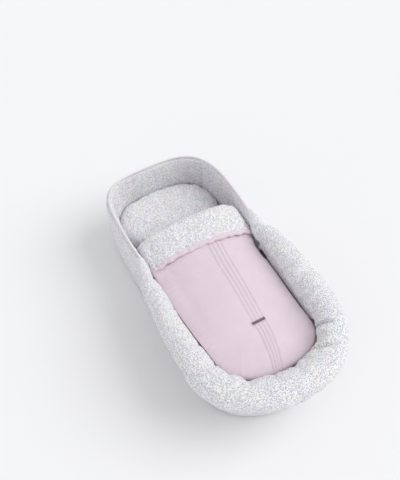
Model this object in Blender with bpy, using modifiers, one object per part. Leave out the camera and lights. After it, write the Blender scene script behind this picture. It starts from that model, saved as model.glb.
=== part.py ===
# A padded footmuff that lines a pram's carrycot and closes over the legs.
# Metres, +Z up, head end at +Y, right-hand side at +X, and the origin at the middle of the
# flat underside. A liner stands in the carrycot, its stuffed roll and elastic skirt go over
# the carrycot's rim, and a quilted cover with a zip down each side folds back to the foot.

import math

import bmesh
import bpy
from mathutils import Vector

# Whole object
OVERALL_LENGTH = 0.875
GAP = 0.0003
LAYER_GAP = 0.0005
OVERRUN = 0.004
GRID_HALF_SHARE = 0.5
UPRIGHT_SHARE = 0.9

# Rim line: the outer face of the liner's walls, seen from above
RIM_HALF_WIDTH = 0.182
FOOT_ARC_DEPTH = 0.145
HEAD_ARC_DEPTH = 0.220
HEAD_ARC_POWER = 3.2
FOOT_ARC_STEPS = 18
HEAD_WALL_STEPS = 12
HEAD_CORNER_STEPS = 4

# Walls and base
WALL_THICKNESS = 0.015
WALL_FOOT_Z = 0.004
WALL_ROUND = 0.004
HEAD_RIM_Z = 0.184
HEAD_SEAM_ANGLE = math.radians(38)
BASE_THICKNESS = 0.028
BASE_EDGE_Z = 0.006
BASE_EDGE_DROP = 0.006
BASE_RING_SHARES = (0.0, 0.55, 0.90, 0.97, 1.0)

# Stuffed roll round the foot half
ROLL_HEAD_WIDTH = 0.0715
ROLL_SIDE_WIDTH = 0.0805
ROLL_GROWTH_LENGTH = 0.200
ROLL_FOOT_WIDTH = 0.0915
ROLL_HEIGHT = 0.062
ROLL_INSIDE = 0.0305
ROLL_BASE_Z = 0.150
ROLL_END_Y = 0.0665
ROLL_FLAT_ANGLE = math.radians(55)
ROLL_ARC_STEPS = 12
ROLL_CASE_THICKNESS = 0.0015
ROLL_END_TAPER = 0.050
ROLL_END_SHARE = 0.84
END_CAP_THICKNESS = 0.002
END_CAP_DOME = 0.005
END_CAP_INSET = 0.009

# Step down from the head rim to the roll
NOTCH_CLEARANCE = 0.006
NOTCH_RAMP = 0.030

# Skirt over the carrycot's rim, and its elastic
SKIRT_SHIFT = 0.0245
SKIRT_THICKNESS = 0.0014
SKIRT_DROP = 0.062
HEM_WIDTH = 0.0045
HEM_TURN = 0.012
ELASTIC_THICKNESS = 0.0010
ELASTIC_WIDTH = 0.006

# Piping on the head rim
PIPING_RADIUS = 0.0026

# Cover: quilted flap and the foot panel that stays sewn
COVER_INSET = 0.0415
COVER_HEAD_Y = 0.1965
COVER_FOOT_DEPTH = 0.1035
COVER_THICKNESS = 0.014
SEAM_DROP = 0.0055
FOLD_GAP = 0.0008
CROWN_AT_FOLD = 0.014
CROWN_AT_HEAD = 0.034
CROWN_RISE_LENGTH = 0.190
CROWN_POWER = 2.2
EDGE_ROUND = 0.014
SHELL_THICKNESS = 0.0015
LINING_THICKNESS = 0.0012
COVER_HALF_SHARES = (0.2, 0.42, 0.6, 0.76, 0.88, 0.95, 0.985, 1.0)
WADDING_INSET_STEPS = 2
FLAP_ROW_SHARES = (0.0, 0.06, 0.12, 0.24, 0.36, 0.48, 0.60, 0.72, 0.84, 0.93, 0.975, 1.0)
FOOT_ROW_SHARES = (0.0, 0.3, 0.55, 0.76, 0.9, 0.97, 1.0)

# Pin tucks down the cover
TUCK_COUNT = 4
TUCK_PITCH = 0.0115
TUCK_WIDTH = 0.0030
TUCK_HEIGHT = 0.0012
TUCK_SHIFT = 0.015

# Tag
TAG_WIDTH = 0.038
TAG_LENGTH = 0.007
TAG_THICKNESS = 0.0012
TAG_SHIFT = 0.046

# Gusset under the roll at the foot
GUSSET_THICKNESS = 0.0016

# Turned-down cuff
CUFF_SIDE_OVERHANG = 0.0125
CUFF_DEPTH = 0.115
CUFF_OVERHANG = 0.009
CUFF_THICKNESS = 0.012
CUFF_POWER = 2.6
CUFF_FACING_THICKNESS = 0.0015
CUFF_BORDER_WIDTH = 0.011
CUFF_ROUND = 0.009
CUFF_HALF_SHARES = (0.25, 0.48, 0.68, 0.84, 0.94, 0.985, 1.0)
CUFF_ROW_SHARES = (0.0, 0.2, 0.4, 0.6, 0.8, 0.92, 0.975, 1.0)
BORDER_ROW_SHARES = (0.0, 0.12, 0.45, 1.0)

# Side zips
ZIP_INSET = 0.035
ZIP_HEAD_Y = 0.0415
TAPE_THICKNESS = 0.0008
FACING_THICKNESS = 0.0018
FACING_INSET = 0.0065
FACING_HEIGHT = 0.015
FACING_LEAN = 0.0010
TOOTH_PITCH = 0.005
TOOTH_WIDTH = 0.0019
TOOTH_TIP_WIDTH = 0.0015
TOOTH_REACH = 0.0008
SPINE_INNER = 0.0011
SPINE_OUTER = 0.0019
CHAIN_HEIGHT = 0.0024
BOTTOM_STOP_LENGTH = 0.004
TOP_STOP_LENGTH = 0.003

# Slider and pull
SLIDER_LENGTH = 0.014
SLIDER_WIDTH = 0.0104
SLIDER_Y = 0.0195
PLATE_THICKNESS = 0.0016
PLATE_CLEARANCE = 0.0004
FLANGE_WIDTH = 0.0010
SLOT_CLEARANCE = 0.0003
POST_WIDTH = 0.0018
POST_LENGTH = 0.0025
BRIDGE_WIDTH = 0.0022
BRIDGE_LENGTH = 0.0112
BRIDGE_LEG = 0.0014
BRIDGE_HOLE_HEIGHT = 0.0027
BRIDGE_TOP = 0.0012
PULL_WIDTH = 0.0076
PULL_LENGTH = 0.025
PULL_THICKNESS = 0.0013
PULL_BAR = 0.0013
PULL_LIFT = 0.0013
PULL_WINDOW_WIDTH = 0.0036
PULL_WINDOW_LENGTH = 0.0068
SLIDER_BEVEL = 0.0004

# Pillow
PILLOW_SIDE_CLEARANCE = 0.018
PILLOW_HALF_LENGTH = 0.0995
PILLOW_BACK_CLEARANCE = 0.003
PILLOW_POWER = 2.9
PILLOW_HEIGHT = 0.064
PILLOW_SEAM_HEIGHT = 0.038
PILLOW_SEAM_SHARE = 0.07
PILLOW_FLAT_SHARE = 0.78
PILLOW_CASE_THICKNESS = 0.0016
PILLOW_SLIT_HALF_WIDTH = 0.100
PILLOW_SLIT_HEIGHT = 0.0022
PILLOW_RING_SHARES = (0.0, 0.45, 0.72, 0.88, 0.96, 1.0)
PILLOW_STEPS = 28

# Colours, as linear values
FLORAL = (0.62, 0.60, 0.64)
PINK = (0.70, 0.58, 0.63)
WHITE = (0.80, 0.79, 0.80)
TAPE_COLOUR = (0.52, 0.42, 0.47)
TEETH_COLOUR = (0.30, 0.25, 0.29)
METAL = (0.10, 0.09, 0.11)
LEATHER = (0.19, 0.12, 0.15)

# Places that follow from the sizes above
FOOT_TIP_Y = ROLL_FOOT_WIDTH - ROLL_INSIDE - OVERALL_LENGTH / 2
FOOT_ARC_Y = FOOT_TIP_Y + FOOT_ARC_DEPTH
HEAD_ARC_Y = OVERALL_LENGTH / 2 - HEAD_ARC_DEPTH
FOLD_Y = FOOT_ARC_Y
SEAM_Z = ROLL_BASE_Z - SEAM_DROP
FOOT_WALL_Z = ROLL_BASE_Z - GAP
COVER_HALF_WIDTH = RIM_HALF_WIDTH - COVER_INSET
HALF_THICKNESS = COVER_THICKNESS / 2
FOLD_AXIS_Z = SEAM_Z + CROWN_AT_FOLD + HALF_THICKNESS + 2 * TUCK_HEIGHT
NOTCH_Y = ROLL_END_Y + END_CAP_THICKNESS + END_CAP_DOME + NOTCH_CLEARANCE
TAG_Y = FOLD_Y + TAG_SHIFT
CUFF_HALF_WIDTH = COVER_HALF_WIDTH + CUFF_SIDE_OVERHANG
CUFF_HEAD_Y = COVER_HEAD_Y + CUFF_OVERHANG
CUFF_FOOT_Y = CUFF_HEAD_Y - CUFF_DEPTH
CUFF_AXIS_Y = CUFF_HEAD_Y - CUFF_OVERHANG / 2
CUFF_AXIS_Z = SEAM_Z + HALF_THICKNESS + CROWN_AT_HEAD / 2
ZIP_X = RIM_HALF_WIDTH - ZIP_INSET
CHAIN_FOOT_Y = FOLD_Y + BOTTOM_STOP_LENGTH + GAP
CHAIN_HEAD_Y = SLIDER_Y + SLIDER_LENGTH / 2
TEETH_HEAD_Y = CHAIN_HEAD_Y - POST_LENGTH - GAP
PULL_Z = SEAM_Z + CHAIN_HEIGHT / 2 + PLATE_CLEARANCE + PLATE_THICKNESS + PULL_LIFT
PILLOW_HALF_WIDTH = RIM_HALF_WIDTH - WALL_THICKNESS - PILLOW_SIDE_CLEARANCE
PILLOW_Y = OVERALL_LENGTH / 2 - WALL_THICKNESS - PILLOW_BACK_CLEARANCE - PILLOW_HALF_LENGTH
PILLOW_Z = BASE_THICKNESS + GAP


def clear_scene():
    for obj in list(bpy.data.objects):
        bpy.data.objects.remove(obj, do_unlink=True)


def new_collection(name):
    collection = bpy.data.collections.new(name)
    bpy.context.scene.collection.children.link(collection)
    return collection


def make_material(name, colour, roughness=0.9, metallic=0.0):
    material = bpy.data.materials.new(name)
    material.use_nodes = True
    shader = material.node_tree.nodes["Principled BSDF"]
    shader.inputs["Base Color"].default_value = (*colour, 1.0)
    shader.inputs["Roughness"].default_value = roughness
    shader.inputs["Metallic"].default_value = metallic
    return material


def add_mesh(name, bm, colour, roughness=0.9, metallic=0.0, parent=None, smooth=50):
    """Turns a bmesh into a named object in the parts collection, with its own material."""
    bmesh.ops.recalc_face_normals(bm, faces=bm.faces[:])
    mesh = bpy.data.meshes.new(name)
    bm.to_mesh(mesh)
    bm.free()
    mesh.shade_smooth()
    mesh.set_sharp_from_angle(angle=math.radians(smooth))
    obj = bpy.data.objects.new(name, mesh)
    PARTS.objects.link(obj)
    obj.data.materials.append(make_material(name, colour, roughness, metallic))
    ride_on(obj, parent)
    return obj


def add_axis(name, place):
    """An empty on a joint's axis, which its moving pieces are parented to."""
    empty = bpy.data.objects.new(name, None)
    PARTS.objects.link(empty)
    empty.location = place
    return empty


def ride_on(obj, parent):
    if parent is None:
        return
    obj.parent = parent
    bpy.context.view_layer.update()
    obj.matrix_parent_inverse = parent.matrix_world.inverted()


def block(bm, low, high):
    """Adds a box between two corners."""
    low, high = Vector(low), Vector(high)
    made = bmesh.ops.create_cube(bm, size=1.0)
    size, middle = high - low, (low + high) / 2
    for vertex in made["verts"]:
        vertex.co = Vector(c * s for c, s in zip(vertex.co, size)) + middle
    return made["verts"]


def add_cutter(name, bm):
    """A hidden shape that a Boolean takes away or adds."""
    bmesh.ops.recalc_face_normals(bm, faces=bm.faces[:])
    mesh = bpy.data.meshes.new(name)
    bm.to_mesh(mesh)
    bm.free()
    obj = bpy.data.objects.new(name, mesh)
    CUTTERS.objects.link(obj)
    obj.hide_render = True
    obj.display_type = "WIRE"
    return obj


def cutter(name, low, high):
    bm = bmesh.new()
    block(bm, low, high)
    return add_cutter(name, bm)


def combine(obj, other, operation):
    modifier = obj.modifiers.new(other.name, "BOOLEAN")
    modifier.operation = operation
    modifier.solver = "EXACT"
    modifier.object = other


def steps(first, last, count):
    return [first + (last - first) * i / (count - 1) for i in range(count)]


def eased(share):
    """A share held between 0 and 1 that starts and ends gently."""
    share = min(max(share, 0.0), 1.0)
    return share * share * (3 - 2 * share)


# Stations: points of the rim line with their outward normals


def foot_station(angle):
    """On the half ellipse round the foot, from the right (0) to the left (pi)."""
    across, along = math.cos(angle), math.sin(angle)
    point = Vector((RIM_HALF_WIDTH * across, FOOT_ARC_Y - FOOT_ARC_DEPTH * along))
    normal = Vector((across / RIM_HALF_WIDTH, -along / FOOT_ARC_DEPTH))
    return point, normal.normalized()


def head_station(angle):
    """On the squarer arch round the head, from the right (0) to the left (pi)."""
    side = math.copysign(1.0, math.cos(angle))
    across = abs(math.cos(angle)) ** (2 / HEAD_ARC_POWER)
    along = abs(math.sin(angle)) ** (2 / HEAD_ARC_POWER)
    point = Vector((side * RIM_HALF_WIDTH * across, HEAD_ARC_Y + HEAD_ARC_DEPTH * along))
    lean = HEAD_ARC_POWER - 1
    normal = Vector((side * across**lean / RIM_HALF_WIDTH, along**lean / HEAD_ARC_DEPTH))
    return point, normal.normalized()


def side_station(side, y):
    return Vector((side * RIM_HALF_WIDTH, y)), Vector((side, 0.0))


def foot_angles():
    return steps(0.0, math.pi, FOOT_ARC_STEPS + 1)


def head_wall_angles():
    return steps(HEAD_SEAM_ANGLE, math.pi - HEAD_SEAM_ANGLE, HEAD_WALL_STEPS + 1)


def head_corner_angles():
    return steps(0.0, HEAD_SEAM_ANGLE, HEAD_CORNER_STEPS + 1)


def foot_half_stations(head_y, side_count):
    """Down the right side, round the foot and up the left side."""
    ys = steps(head_y, FOOT_ARC_Y, side_count)
    right = [side_station(1, y) for y in ys]
    arc = [foot_station(angle) for angle in foot_angles()]
    left = [side_station(-1, y) for y in reversed(ys)]
    return right + arc[1:-1] + left


def rim_loop():
    """All the way round the rim line, from the right end of the head arch to the left and back."""
    corner = head_corner_angles()[:-1]
    angles = corner + head_wall_angles() + [math.pi - angle for angle in reversed(corner)]
    foot = [foot_station(angle) for angle in reversed(foot_angles())]
    return [head_station(angle) for angle in angles] + foot


def place_on(station, offset, z):
    point, normal = station
    spot = point + normal * offset
    return Vector((spot.x, spot.y, z))


def loft(stations, sections, closed_ends=True):
    """Carries a closed section from station to station by extruding its last outline."""
    bm = bmesh.new()
    ring = [bm.verts.new(place_on(stations[0], *spot)) for spot in sections[0]]
    edges = [bm.edges.new((ring[i - 1], ring[i])) for i in range(len(ring))]
    if closed_ends:
        bmesh.ops.contextual_create(bm, geom=edges)
    for station, section in zip(stations[1:], sections[1:]):
        made = bmesh.ops.extrude_edge_only(bm, edges=edges)["geom"]
        fresh = [item for item in made if isinstance(item, bmesh.types.BMVert)]
        edges = [item for item in made if isinstance(item, bmesh.types.BMEdge)]
        edges = [edge for edge in edges if all(vertex in fresh for vertex in edge.verts)]
        ring = [min(fresh, key=lambda vertex: (vertex.co - old.co).length) for old in ring]
        for vertex, spot in zip(ring, section):
            vertex.co = place_on(station, *spot)
    if closed_ends:
        bmesh.ops.contextual_create(bm, geom=edges)
    return bm


def sheet(columns, rows, place, top, bottom):
    """A layer between two heights. place gives x and y of a column and row, top and bottom their z."""
    bm = bmesh.new()
    across, along = len(columns) - 1, len(rows) - 1
    bmesh.ops.create_grid(bm, x_segments=across, y_segments=along, size=GRID_HALF_SHARE)
    for vertex in bm.verts:
        column = columns[round((vertex.co.x + GRID_HALF_SHARE) * across)]
        row = rows[round((vertex.co.y + GRID_HALF_SHARE) * along)]
        x, y = place(column, row)
        vertex.co = Vector((x, y, top(x, y)))
    bmesh.ops.remove_doubles(bm, verts=bm.verts[:], dist=GAP / 10)
    made = bmesh.ops.extrude_face_region(bm, geom=bm.faces[:], use_keep_orig=True)["geom"]
    for item in made:
        if isinstance(item, bmesh.types.BMVert):
            item.co.z = bottom(item.co.x, item.co.y)
    return bm


def cushion(outline, ring_shares, centre, top, bottom):
    """A pad on a closed outline. top and bottom give z at a share of the way to the outline."""
    bm = bmesh.new()
    around, out = len(outline), len(ring_shares) - 1
    bmesh.ops.create_grid(bm, x_segments=around, y_segments=out, size=GRID_HALF_SHARE)
    shares = {}
    for vertex in bm.verts:
        spot = outline[round((vertex.co.x + GRID_HALF_SHARE) * around) % around]
        share = ring_shares[round((vertex.co.y + GRID_HALF_SHARE) * out)]
        flat = centre + (spot - centre) * share
        vertex.co = Vector((flat.x, flat.y, top(share)))
        shares[vertex] = share
    bmesh.ops.remove_doubles(bm, verts=bm.verts[:], dist=GAP / 10)
    lows = {vertex.co.copy().freeze(): bottom(shares[vertex]) for vertex in bm.verts}
    made = bmesh.ops.extrude_face_region(bm, geom=bm.faces[:], use_keep_orig=True)["geom"]
    for item in made:
        if isinstance(item, bmesh.types.BMVert):
            item.co.z = lows[item.co.copy().freeze()]
    return bm


# Liner: base and walls


def make_base_pad():
    outline = [place_on(spot, -WALL_THICKNESS - GAP, 0.0).xy for spot in rim_loop()]

    def top(share):
        return BASE_THICKNESS - (BASE_EDGE_DROP if share == 1.0 else 0.0)

    def bottom(share):
        return BASE_EDGE_Z if share == 1.0 else 0.0

    bm = cushion(outline, BASE_RING_SHARES, Vector((0.0, 0.0)), top, bottom)
    add_mesh("base_pad", bm, FLORAL)


def rim_z(y):
    """Height of the walls' top edge: low under the roll, and up a ramp to the head rim."""
    return FOOT_WALL_Z + (HEAD_RIM_Z - FOOT_WALL_Z) * eased((y - NOTCH_Y) / NOTCH_RAMP)


def wall_section(station):
    top = rim_z(station[0].y)
    inner, rounding = -WALL_THICKNESS, WALL_ROUND
    return [
        (-rounding, WALL_FOOT_Z),
        (0.0, WALL_FOOT_Z + rounding),
        (0.0, top - rounding),
        (-rounding, top),
        (inner + rounding, top),
        (inner, top - rounding),
        (inner, WALL_FOOT_Z + rounding),
        (inner + rounding, WALL_FOOT_Z),
    ]


def make_wall(name, stations):
    add_mesh(name, loft(stations, [wall_section(spot) for spot in stations]), FLORAL)


def side_wall_stations(side):
    """From the seam at the head corner down to the seam where the foot arc begins."""
    angles = head_corner_angles()
    angles[-1] -= 2 * GAP / RIM_HALF_WIDTH
    corner = [head_station(angle) for angle in reversed(angles)]
    ramp = [side_station(1, y) for y in steps(NOTCH_Y + NOTCH_RAMP, NOTCH_Y, 5)]
    foot = side_station(1, FOOT_ARC_Y + GAP)
    right = corner + ramp + [foot]
    if side > 0:
        return right
    mirror = Vector((-1.0, 1.0))
    return [(point * mirror, normal * mirror) for point, normal in right]


def make_walls():
    make_wall("wall_head", [head_station(angle) for angle in head_wall_angles()])
    make_wall("wall_right", side_wall_stations(1))
    make_wall("wall_left", side_wall_stations(-1))
    make_wall("wall_foot", [foot_station(angle) for angle in foot_angles()])


def make_piping():
    right = side_wall_stations(1)[:-1]
    head = [head_station(angle) for angle in head_wall_angles()]
    left = side_wall_stations(-1)[:-1]
    stations = right[::-1] + head[1:-1] + left
    angles = steps(0.0, 2 * math.pi, 9)[:-1]
    sections = []
    for station in stations:
        z = rim_z(station[0].y) + GAP + PIPING_RADIUS
        offset = -WALL_THICKNESS / 2
        ring = [(offset + PIPING_RADIUS * math.cos(a), z + PIPING_RADIUS * math.sin(a)) for a in angles]
        sections.append(ring)
    add_mesh("rim_piping", loft(stations, sections), WHITE)


# Roll and skirt


def roll_share(y):
    """How full the roll is: drawn in a little towards its two ends."""
    return ROLL_END_SHARE + (1 - ROLL_END_SHARE) * puffed(ROLL_END_Y - y, ROLL_END_TAPER)


def roll_width(y):
    """Fatter round the foot than down the sides."""
    grown = eased((ROLL_END_Y - ROLL_END_TAPER - y) / ROLL_GROWTH_LENGTH)
    side = ROLL_HEAD_WIDTH + (ROLL_SIDE_WIDTH - ROLL_HEAD_WIDTH) * grown
    return side + (ROLL_FOOT_WIDTH - ROLL_SIDE_WIDTH) * eased((FOOT_ARC_Y - y) / FOOT_ARC_DEPTH)


def roll_middle(y):
    """How far the roll's middle lies outside the rim line."""
    return roll_width(y) / 2 - ROLL_INSIDE


def roll_section(y, inset=0.0):
    """An ellipse with a flat underside, which rests on the wall and the carrycot's rim."""
    half_width = roll_width(y) / 2 * roll_share(y)
    half_height = ROLL_HEIGHT / (1 + math.sin(ROLL_FLAT_ANGLE)) * roll_share(y)
    drop = half_height * math.sin(ROLL_FLAT_ANGLE)
    middle = ROLL_BASE_Z + drop
    flat_angle = math.asin((drop - inset) / (half_height - inset))
    section = []
    for angle in steps(-flat_angle, math.pi + flat_angle, ROLL_ARC_STEPS + 1):
        offset = roll_middle(y) + (half_width - inset) * math.cos(angle)
        section.append((offset, middle + (half_height - inset) * math.sin(angle)))
    return section


def roll_stations():
    taper = [side_station(1, ROLL_END_Y - ROLL_END_TAPER * share) for share in (0.0, 0.15, 0.45, 1.0)]
    middle = foot_half_stations(ROLL_END_Y - 2 * ROLL_END_TAPER, 4)
    left = [side_station(-1, station[0].y) for station in reversed(taper)]
    return taper + middle + left


def make_roll_case():
    stations = roll_stations()
    sections = [roll_section(spot[0].y) for spot in stations]
    case = add_mesh("roll_case", loft(stations, sections, closed_ends=False), FLORAL)
    shell = case.modifiers.new("case_thickness", "SOLIDIFY")
    shell.thickness = ROLL_CASE_THICKNESS
    shell.offset = -1.0
    shell.use_even_offset = True


def make_roll_filling():
    stations = roll_stations()
    inset = ROLL_CASE_THICKNESS + LAYER_GAP
    sections = [roll_section(spot[0].y, inset) for spot in stations]
    add_mesh("roll_filling", loft(stations, sections), WHITE)


def make_roll_end(name, side):
    """A round end panel, sewn across the roll's end and bulging a little."""
    base = roll_section(ROLL_END_Y)
    middle_z = ROLL_BASE_Z + ROLL_HEIGHT * ROLL_END_SHARE / 2
    ys = (GAP, GAP + END_CAP_THICKNESS, GAP + END_CAP_THICKNESS + END_CAP_DOME)
    shrink = 1 - 2 * END_CAP_INSET / ROLL_HEAD_WIDTH
    rings = [base, base, [pull_in(spot, middle_z, shrink) for spot in base]]
    add_mesh(name, loft([side_station(side, ROLL_END_Y + y) for y in ys], rings), FLORAL)


def pull_in(spot, middle_z, share):
    middle = roll_middle(ROLL_END_Y)
    offset, z = spot
    return middle + (offset - middle) * share, middle_z + (z - middle_z) * share


def make_skirt():
    """A single panel hanging from the roll, its lower edge turned up to hold the elastic."""
    outer, inner = SKIRT_SHIFT, SKIRT_SHIFT - HEM_WIDTH
    cloth = SKIRT_THICKNESS
    top = ROLL_BASE_Z - GAP
    foot = top - SKIRT_DROP
    section = [
        (outer, top),
        (outer, foot),
        (inner, foot),
        (inner, foot + HEM_TURN),
        (inner + cloth, foot + HEM_TURN),
        (inner + cloth, foot + cloth),
        (outer - cloth, foot + cloth),
        (outer - cloth, top),
    ]
    stations = foot_half_stations(ROLL_END_Y, 4)
    add_mesh("skirt", loft(stations, [section] * len(stations)), PINK)


def make_elastic():
    outer = SKIRT_SHIFT - SKIRT_THICKNESS - GAP
    foot = ROLL_BASE_Z - GAP - SKIRT_DROP + SKIRT_THICKNESS + GAP
    inner = outer - ELASTIC_THICKNESS
    top = foot + ELASTIC_WIDTH
    section = [(outer, foot), (inner, foot), (inner, top), (outer, top)]
    stations = foot_half_stations(ROLL_END_Y, 4)
    add_mesh("skirt_elastic", loft(stations, [section] * len(stations)), WHITE)


# Cover: heights that all its layers share


def crown(y):
    """Height of the cover's dome over its seam, rising from the fold towards the head."""
    return CROWN_AT_FOLD + (CROWN_AT_HEAD - CROWN_AT_FOLD) * eased((y - FOLD_Y) / CROWN_RISE_LENGTH)


def radius_share(x, y):
    """0 along the middle of the cover and 1 on its sewn edge."""
    along = max(FOLD_Y - y, 0.0) / COVER_FOOT_DEPTH
    return min(math.hypot(x / COVER_HALF_WIDTH, along), 1.0)


def cover_middle(x, y):
    return SEAM_Z + crown(y) * (1 - radius_share(x, y) ** CROWN_POWER)


def puffed(distance, rounding):
    """0 at a sewn edge and 1 where the quilt has its full thickness."""
    share = min(max(distance / rounding, 0.0), 1.0)
    return math.sqrt(1 - (1 - share) ** 2)


def half_quilt(x, y):
    seam = (SHELL_THICKNESS + LINING_THICKNESS + LAYER_GAP) / 2
    side = puffed((1 - radius_share(x, y)) * COVER_HALF_WIDTH, EDGE_ROUND)
    head = puffed(COVER_HEAD_Y - y, EDGE_ROUND)
    return seam + (HALF_THICKNESS - seam) * min(side, head)


def tuck_places():
    first = TUCK_SHIFT - TUCK_PITCH * (TUCK_COUNT - 1) / 2
    return [first + TUCK_PITCH * i for i in range(TUCK_COUNT)]


def tuck_height(x, y):
    """The pin tucks stand up from the shell, and die away before its sewn edges."""
    on_a_tuck = min(abs(x - place) for place in tuck_places()) < TUCK_WIDTH / 4
    near_foot = radius_share(x, y) > 1 - EDGE_ROUND / COVER_HALF_WIDTH
    near_head = y > COVER_HEAD_Y - EDGE_ROUND
    return TUCK_HEIGHT if on_a_tuck and not near_foot and not near_head else 0.0


def shell_top(x, y):
    return cover_middle(x, y) + half_quilt(x, y) + tuck_height(x, y)


def shell_bottom(x, y):
    return cover_middle(x, y) + half_quilt(x, y) - SHELL_THICKNESS


def lining_top(x, y):
    return cover_middle(x, y) - half_quilt(x, y) + LINING_THICKNESS


def lining_bottom(x, y):
    return cover_middle(x, y) - half_quilt(x, y)


def wadding_top(x, y):
    return shell_bottom(x, y) - LAYER_GAP


def wadding_bottom(x, y):
    return lining_top(x, y) + LAYER_GAP


def mirrored(half_shares, size):
    """Places on both sides of the middle, and the middle itself."""
    right = [share * size for share in half_shares]
    return [-x for x in reversed(right)] + [0.0] + right


def lining_columns():
    return mirrored(COVER_HALF_SHARES, COVER_HALF_WIDTH)


def wadding_columns():
    """The lining's columns without those at the sewn edges, where the wadding stops."""
    return lining_columns()[WADDING_INSET_STEPS:-WADDING_INSET_STEPS]


def shell_columns():
    """The lining's columns, with three more on each tuck and none crowding them."""
    tucks = [place + side * TUCK_WIDTH / 2 for place in tuck_places() for side in (-1, 0, 1)]
    kept = [x for x in lining_columns() if min(abs(x - tuck) for tuck in tucks) > TUCK_WIDTH]
    return sorted(kept + tucks)


def flap_place(x, row):
    low = FOLD_Y + FOLD_GAP / 2
    return x, low + (COVER_HEAD_Y - low) * row


def foot_panel_place(x, row):
    reach = math.sqrt(max(1 - (x / COVER_HALF_WIDTH) ** 2, 0.0))
    high = FOLD_Y - FOLD_GAP / 2
    return x, high - (COVER_FOOT_DEPTH - FOLD_GAP / 2) * reach * row


def make_quilt(prefix, rows, place, wadding_rows, parent=None):
    """Pink shell, wadding and floral lining, one on the other."""
    shell = sheet(shell_columns(), rows, place, shell_top, shell_bottom)
    add_mesh(prefix + "_shell", shell, PINK, parent=parent)
    wadding = sheet(wadding_columns(), wadding_rows, place, wadding_top, wadding_bottom)
    add_mesh(prefix + "_wadding", wadding, WHITE, parent=parent)
    lining = sheet(lining_columns(), rows, place, lining_top, lining_bottom)
    add_mesh(prefix + "_lining", lining, FLORAL, parent=parent)


def make_flap(axis):
    make_quilt("cover", FLAP_ROW_SHARES, flap_place, FLAP_ROW_SHARES[:-1], axis)


def make_foot_panel():
    make_quilt("foot_panel", FOOT_ROW_SHARES, foot_panel_place, FOOT_ROW_SHARES[:-WADDING_INSET_STEPS])


def make_gusset():
    """A level strip that joins the foot panel's edge to the foot wall, under the roll."""
    half = GUSSET_THICKNESS / 2
    facet_sag = RIM_HALF_WIDTH * (1 - math.cos(math.pi / FOOT_ARC_STEPS / 2))
    angles = [math.acos(x / COVER_HALF_WIDTH) for x in reversed(shell_columns())]

    def place(angle, row):
        outer = place_on(foot_station(angle), -WALL_THICKNESS - GAP - facet_sag, 0.0)
        across = (COVER_HALF_WIDTH + GAP) * math.cos(angle)
        inner = Vector((across, FOLD_Y - (COVER_FOOT_DEPTH + GAP) * math.sin(angle), 0.0))
        spot = inner.lerp(outer, row)
        return spot.x, min(spot.y, FOLD_Y - FOLD_GAP / 2)

    bm = sheet(angles, (0.0, 1.0), place, lambda x, y: SEAM_Z + half, lambda x, y: SEAM_Z - half)
    add_mesh("foot_gusset", bm, FLORAL)


def make_tag(axis):
    """A thin bare tag across the tucks, following the cover's curve."""
    columns = [TUCK_SHIFT + share * TAG_WIDTH / 2 for share in (-1.0, -0.5, 0.0, 0.5, 1.0)]

    def bottom(x, y):
        return cover_middle(x, y) + half_quilt(x, y) + TUCK_HEIGHT + GAP

    def top(x, y):
        return bottom(x, y) + TAG_THICKNESS

    rows = (TAG_Y - TAG_LENGTH / 2, TAG_Y + TAG_LENGTH / 2)
    bm = sheet(columns, rows, lambda x, y: (x, y), top, bottom)
    add_mesh("cover_tag", bm, LEATHER, roughness=0.6, parent=axis)


# Cuff


def cuff_base(x, y):
    """The surface that the cuff lies on, a little over the cover."""
    share = min(abs(x) / CUFF_HALF_WIDTH, 1.0)
    return SEAM_Z + HALF_THICKNESS + TUCK_HEIGHT + GAP + crown(y) * (1 - share**CUFF_POWER)


def cuff_top(x, y):
    edge = min(CUFF_HALF_WIDTH - abs(x), y - CUFF_FOOT_Y, CUFF_HEAD_Y - y)
    low = CUFF_FACING_THICKNESS + LAYER_GAP + GAP
    return cuff_base(x, y) + low + (CUFF_THICKNESS - low) * puffed(edge + CUFF_ROUND / 8, CUFF_ROUND)


def cuff_facing_top(x, y):
    return cuff_base(x, y) + CUFF_FACING_THICKNESS


def cuff_panel_bottom(x, y):
    return cuff_facing_top(x, y) + LAYER_GAP


def make_cuff(axis):
    columns = mirrored(CUFF_HALF_SHARES, CUFF_HALF_WIDTH)
    seam_y = CUFF_FOOT_Y + CUFF_BORDER_WIDTH

    def panel_place(x, row):
        return x, seam_y + GAP + (CUFF_HEAD_Y - seam_y - GAP) * row

    def border_place(x, row):
        return x, CUFF_FOOT_Y + CUFF_BORDER_WIDTH * row

    panel = sheet(columns, CUFF_ROW_SHARES, panel_place, cuff_top, cuff_panel_bottom)
    add_mesh("cuff_panel", panel, FLORAL, parent=axis)
    facing = sheet(columns, CUFF_ROW_SHARES, panel_place, cuff_facing_top, cuff_base)
    add_mesh("cuff_facing", facing, PINK, parent=axis)
    border = sheet(columns, BORDER_ROW_SHARES, border_place, cuff_top, cuff_base)
    add_mesh("cuff_border", border, PINK, parent=axis)


# Zips: half is 1 for the liner's half and -1 for the cover's half


def make_zip_facing(name, side):
    """A floral strip that rises from the zip's tape to the roll and hides the tape."""
    foot_z = SEAM_Z + TAPE_THICKNESS / 2 + GAP
    head_z = foot_z + FACING_HEIGHT
    foot = ZIP_X + FACING_INSET - RIM_HALF_WIDTH
    head = foot + FACING_LEAN
    section = [
        (foot, foot_z),
        (foot + FACING_THICKNESS, foot_z),
        (head + FACING_THICKNESS, head_z),
        (head, head_z),
    ]
    stations = [side_station(side, y) for y in (ZIP_HEAD_Y, FOLD_Y + FOLD_GAP / 2)]
    add_mesh(name, loft(stations, [section] * 2), FLORAL)


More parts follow.
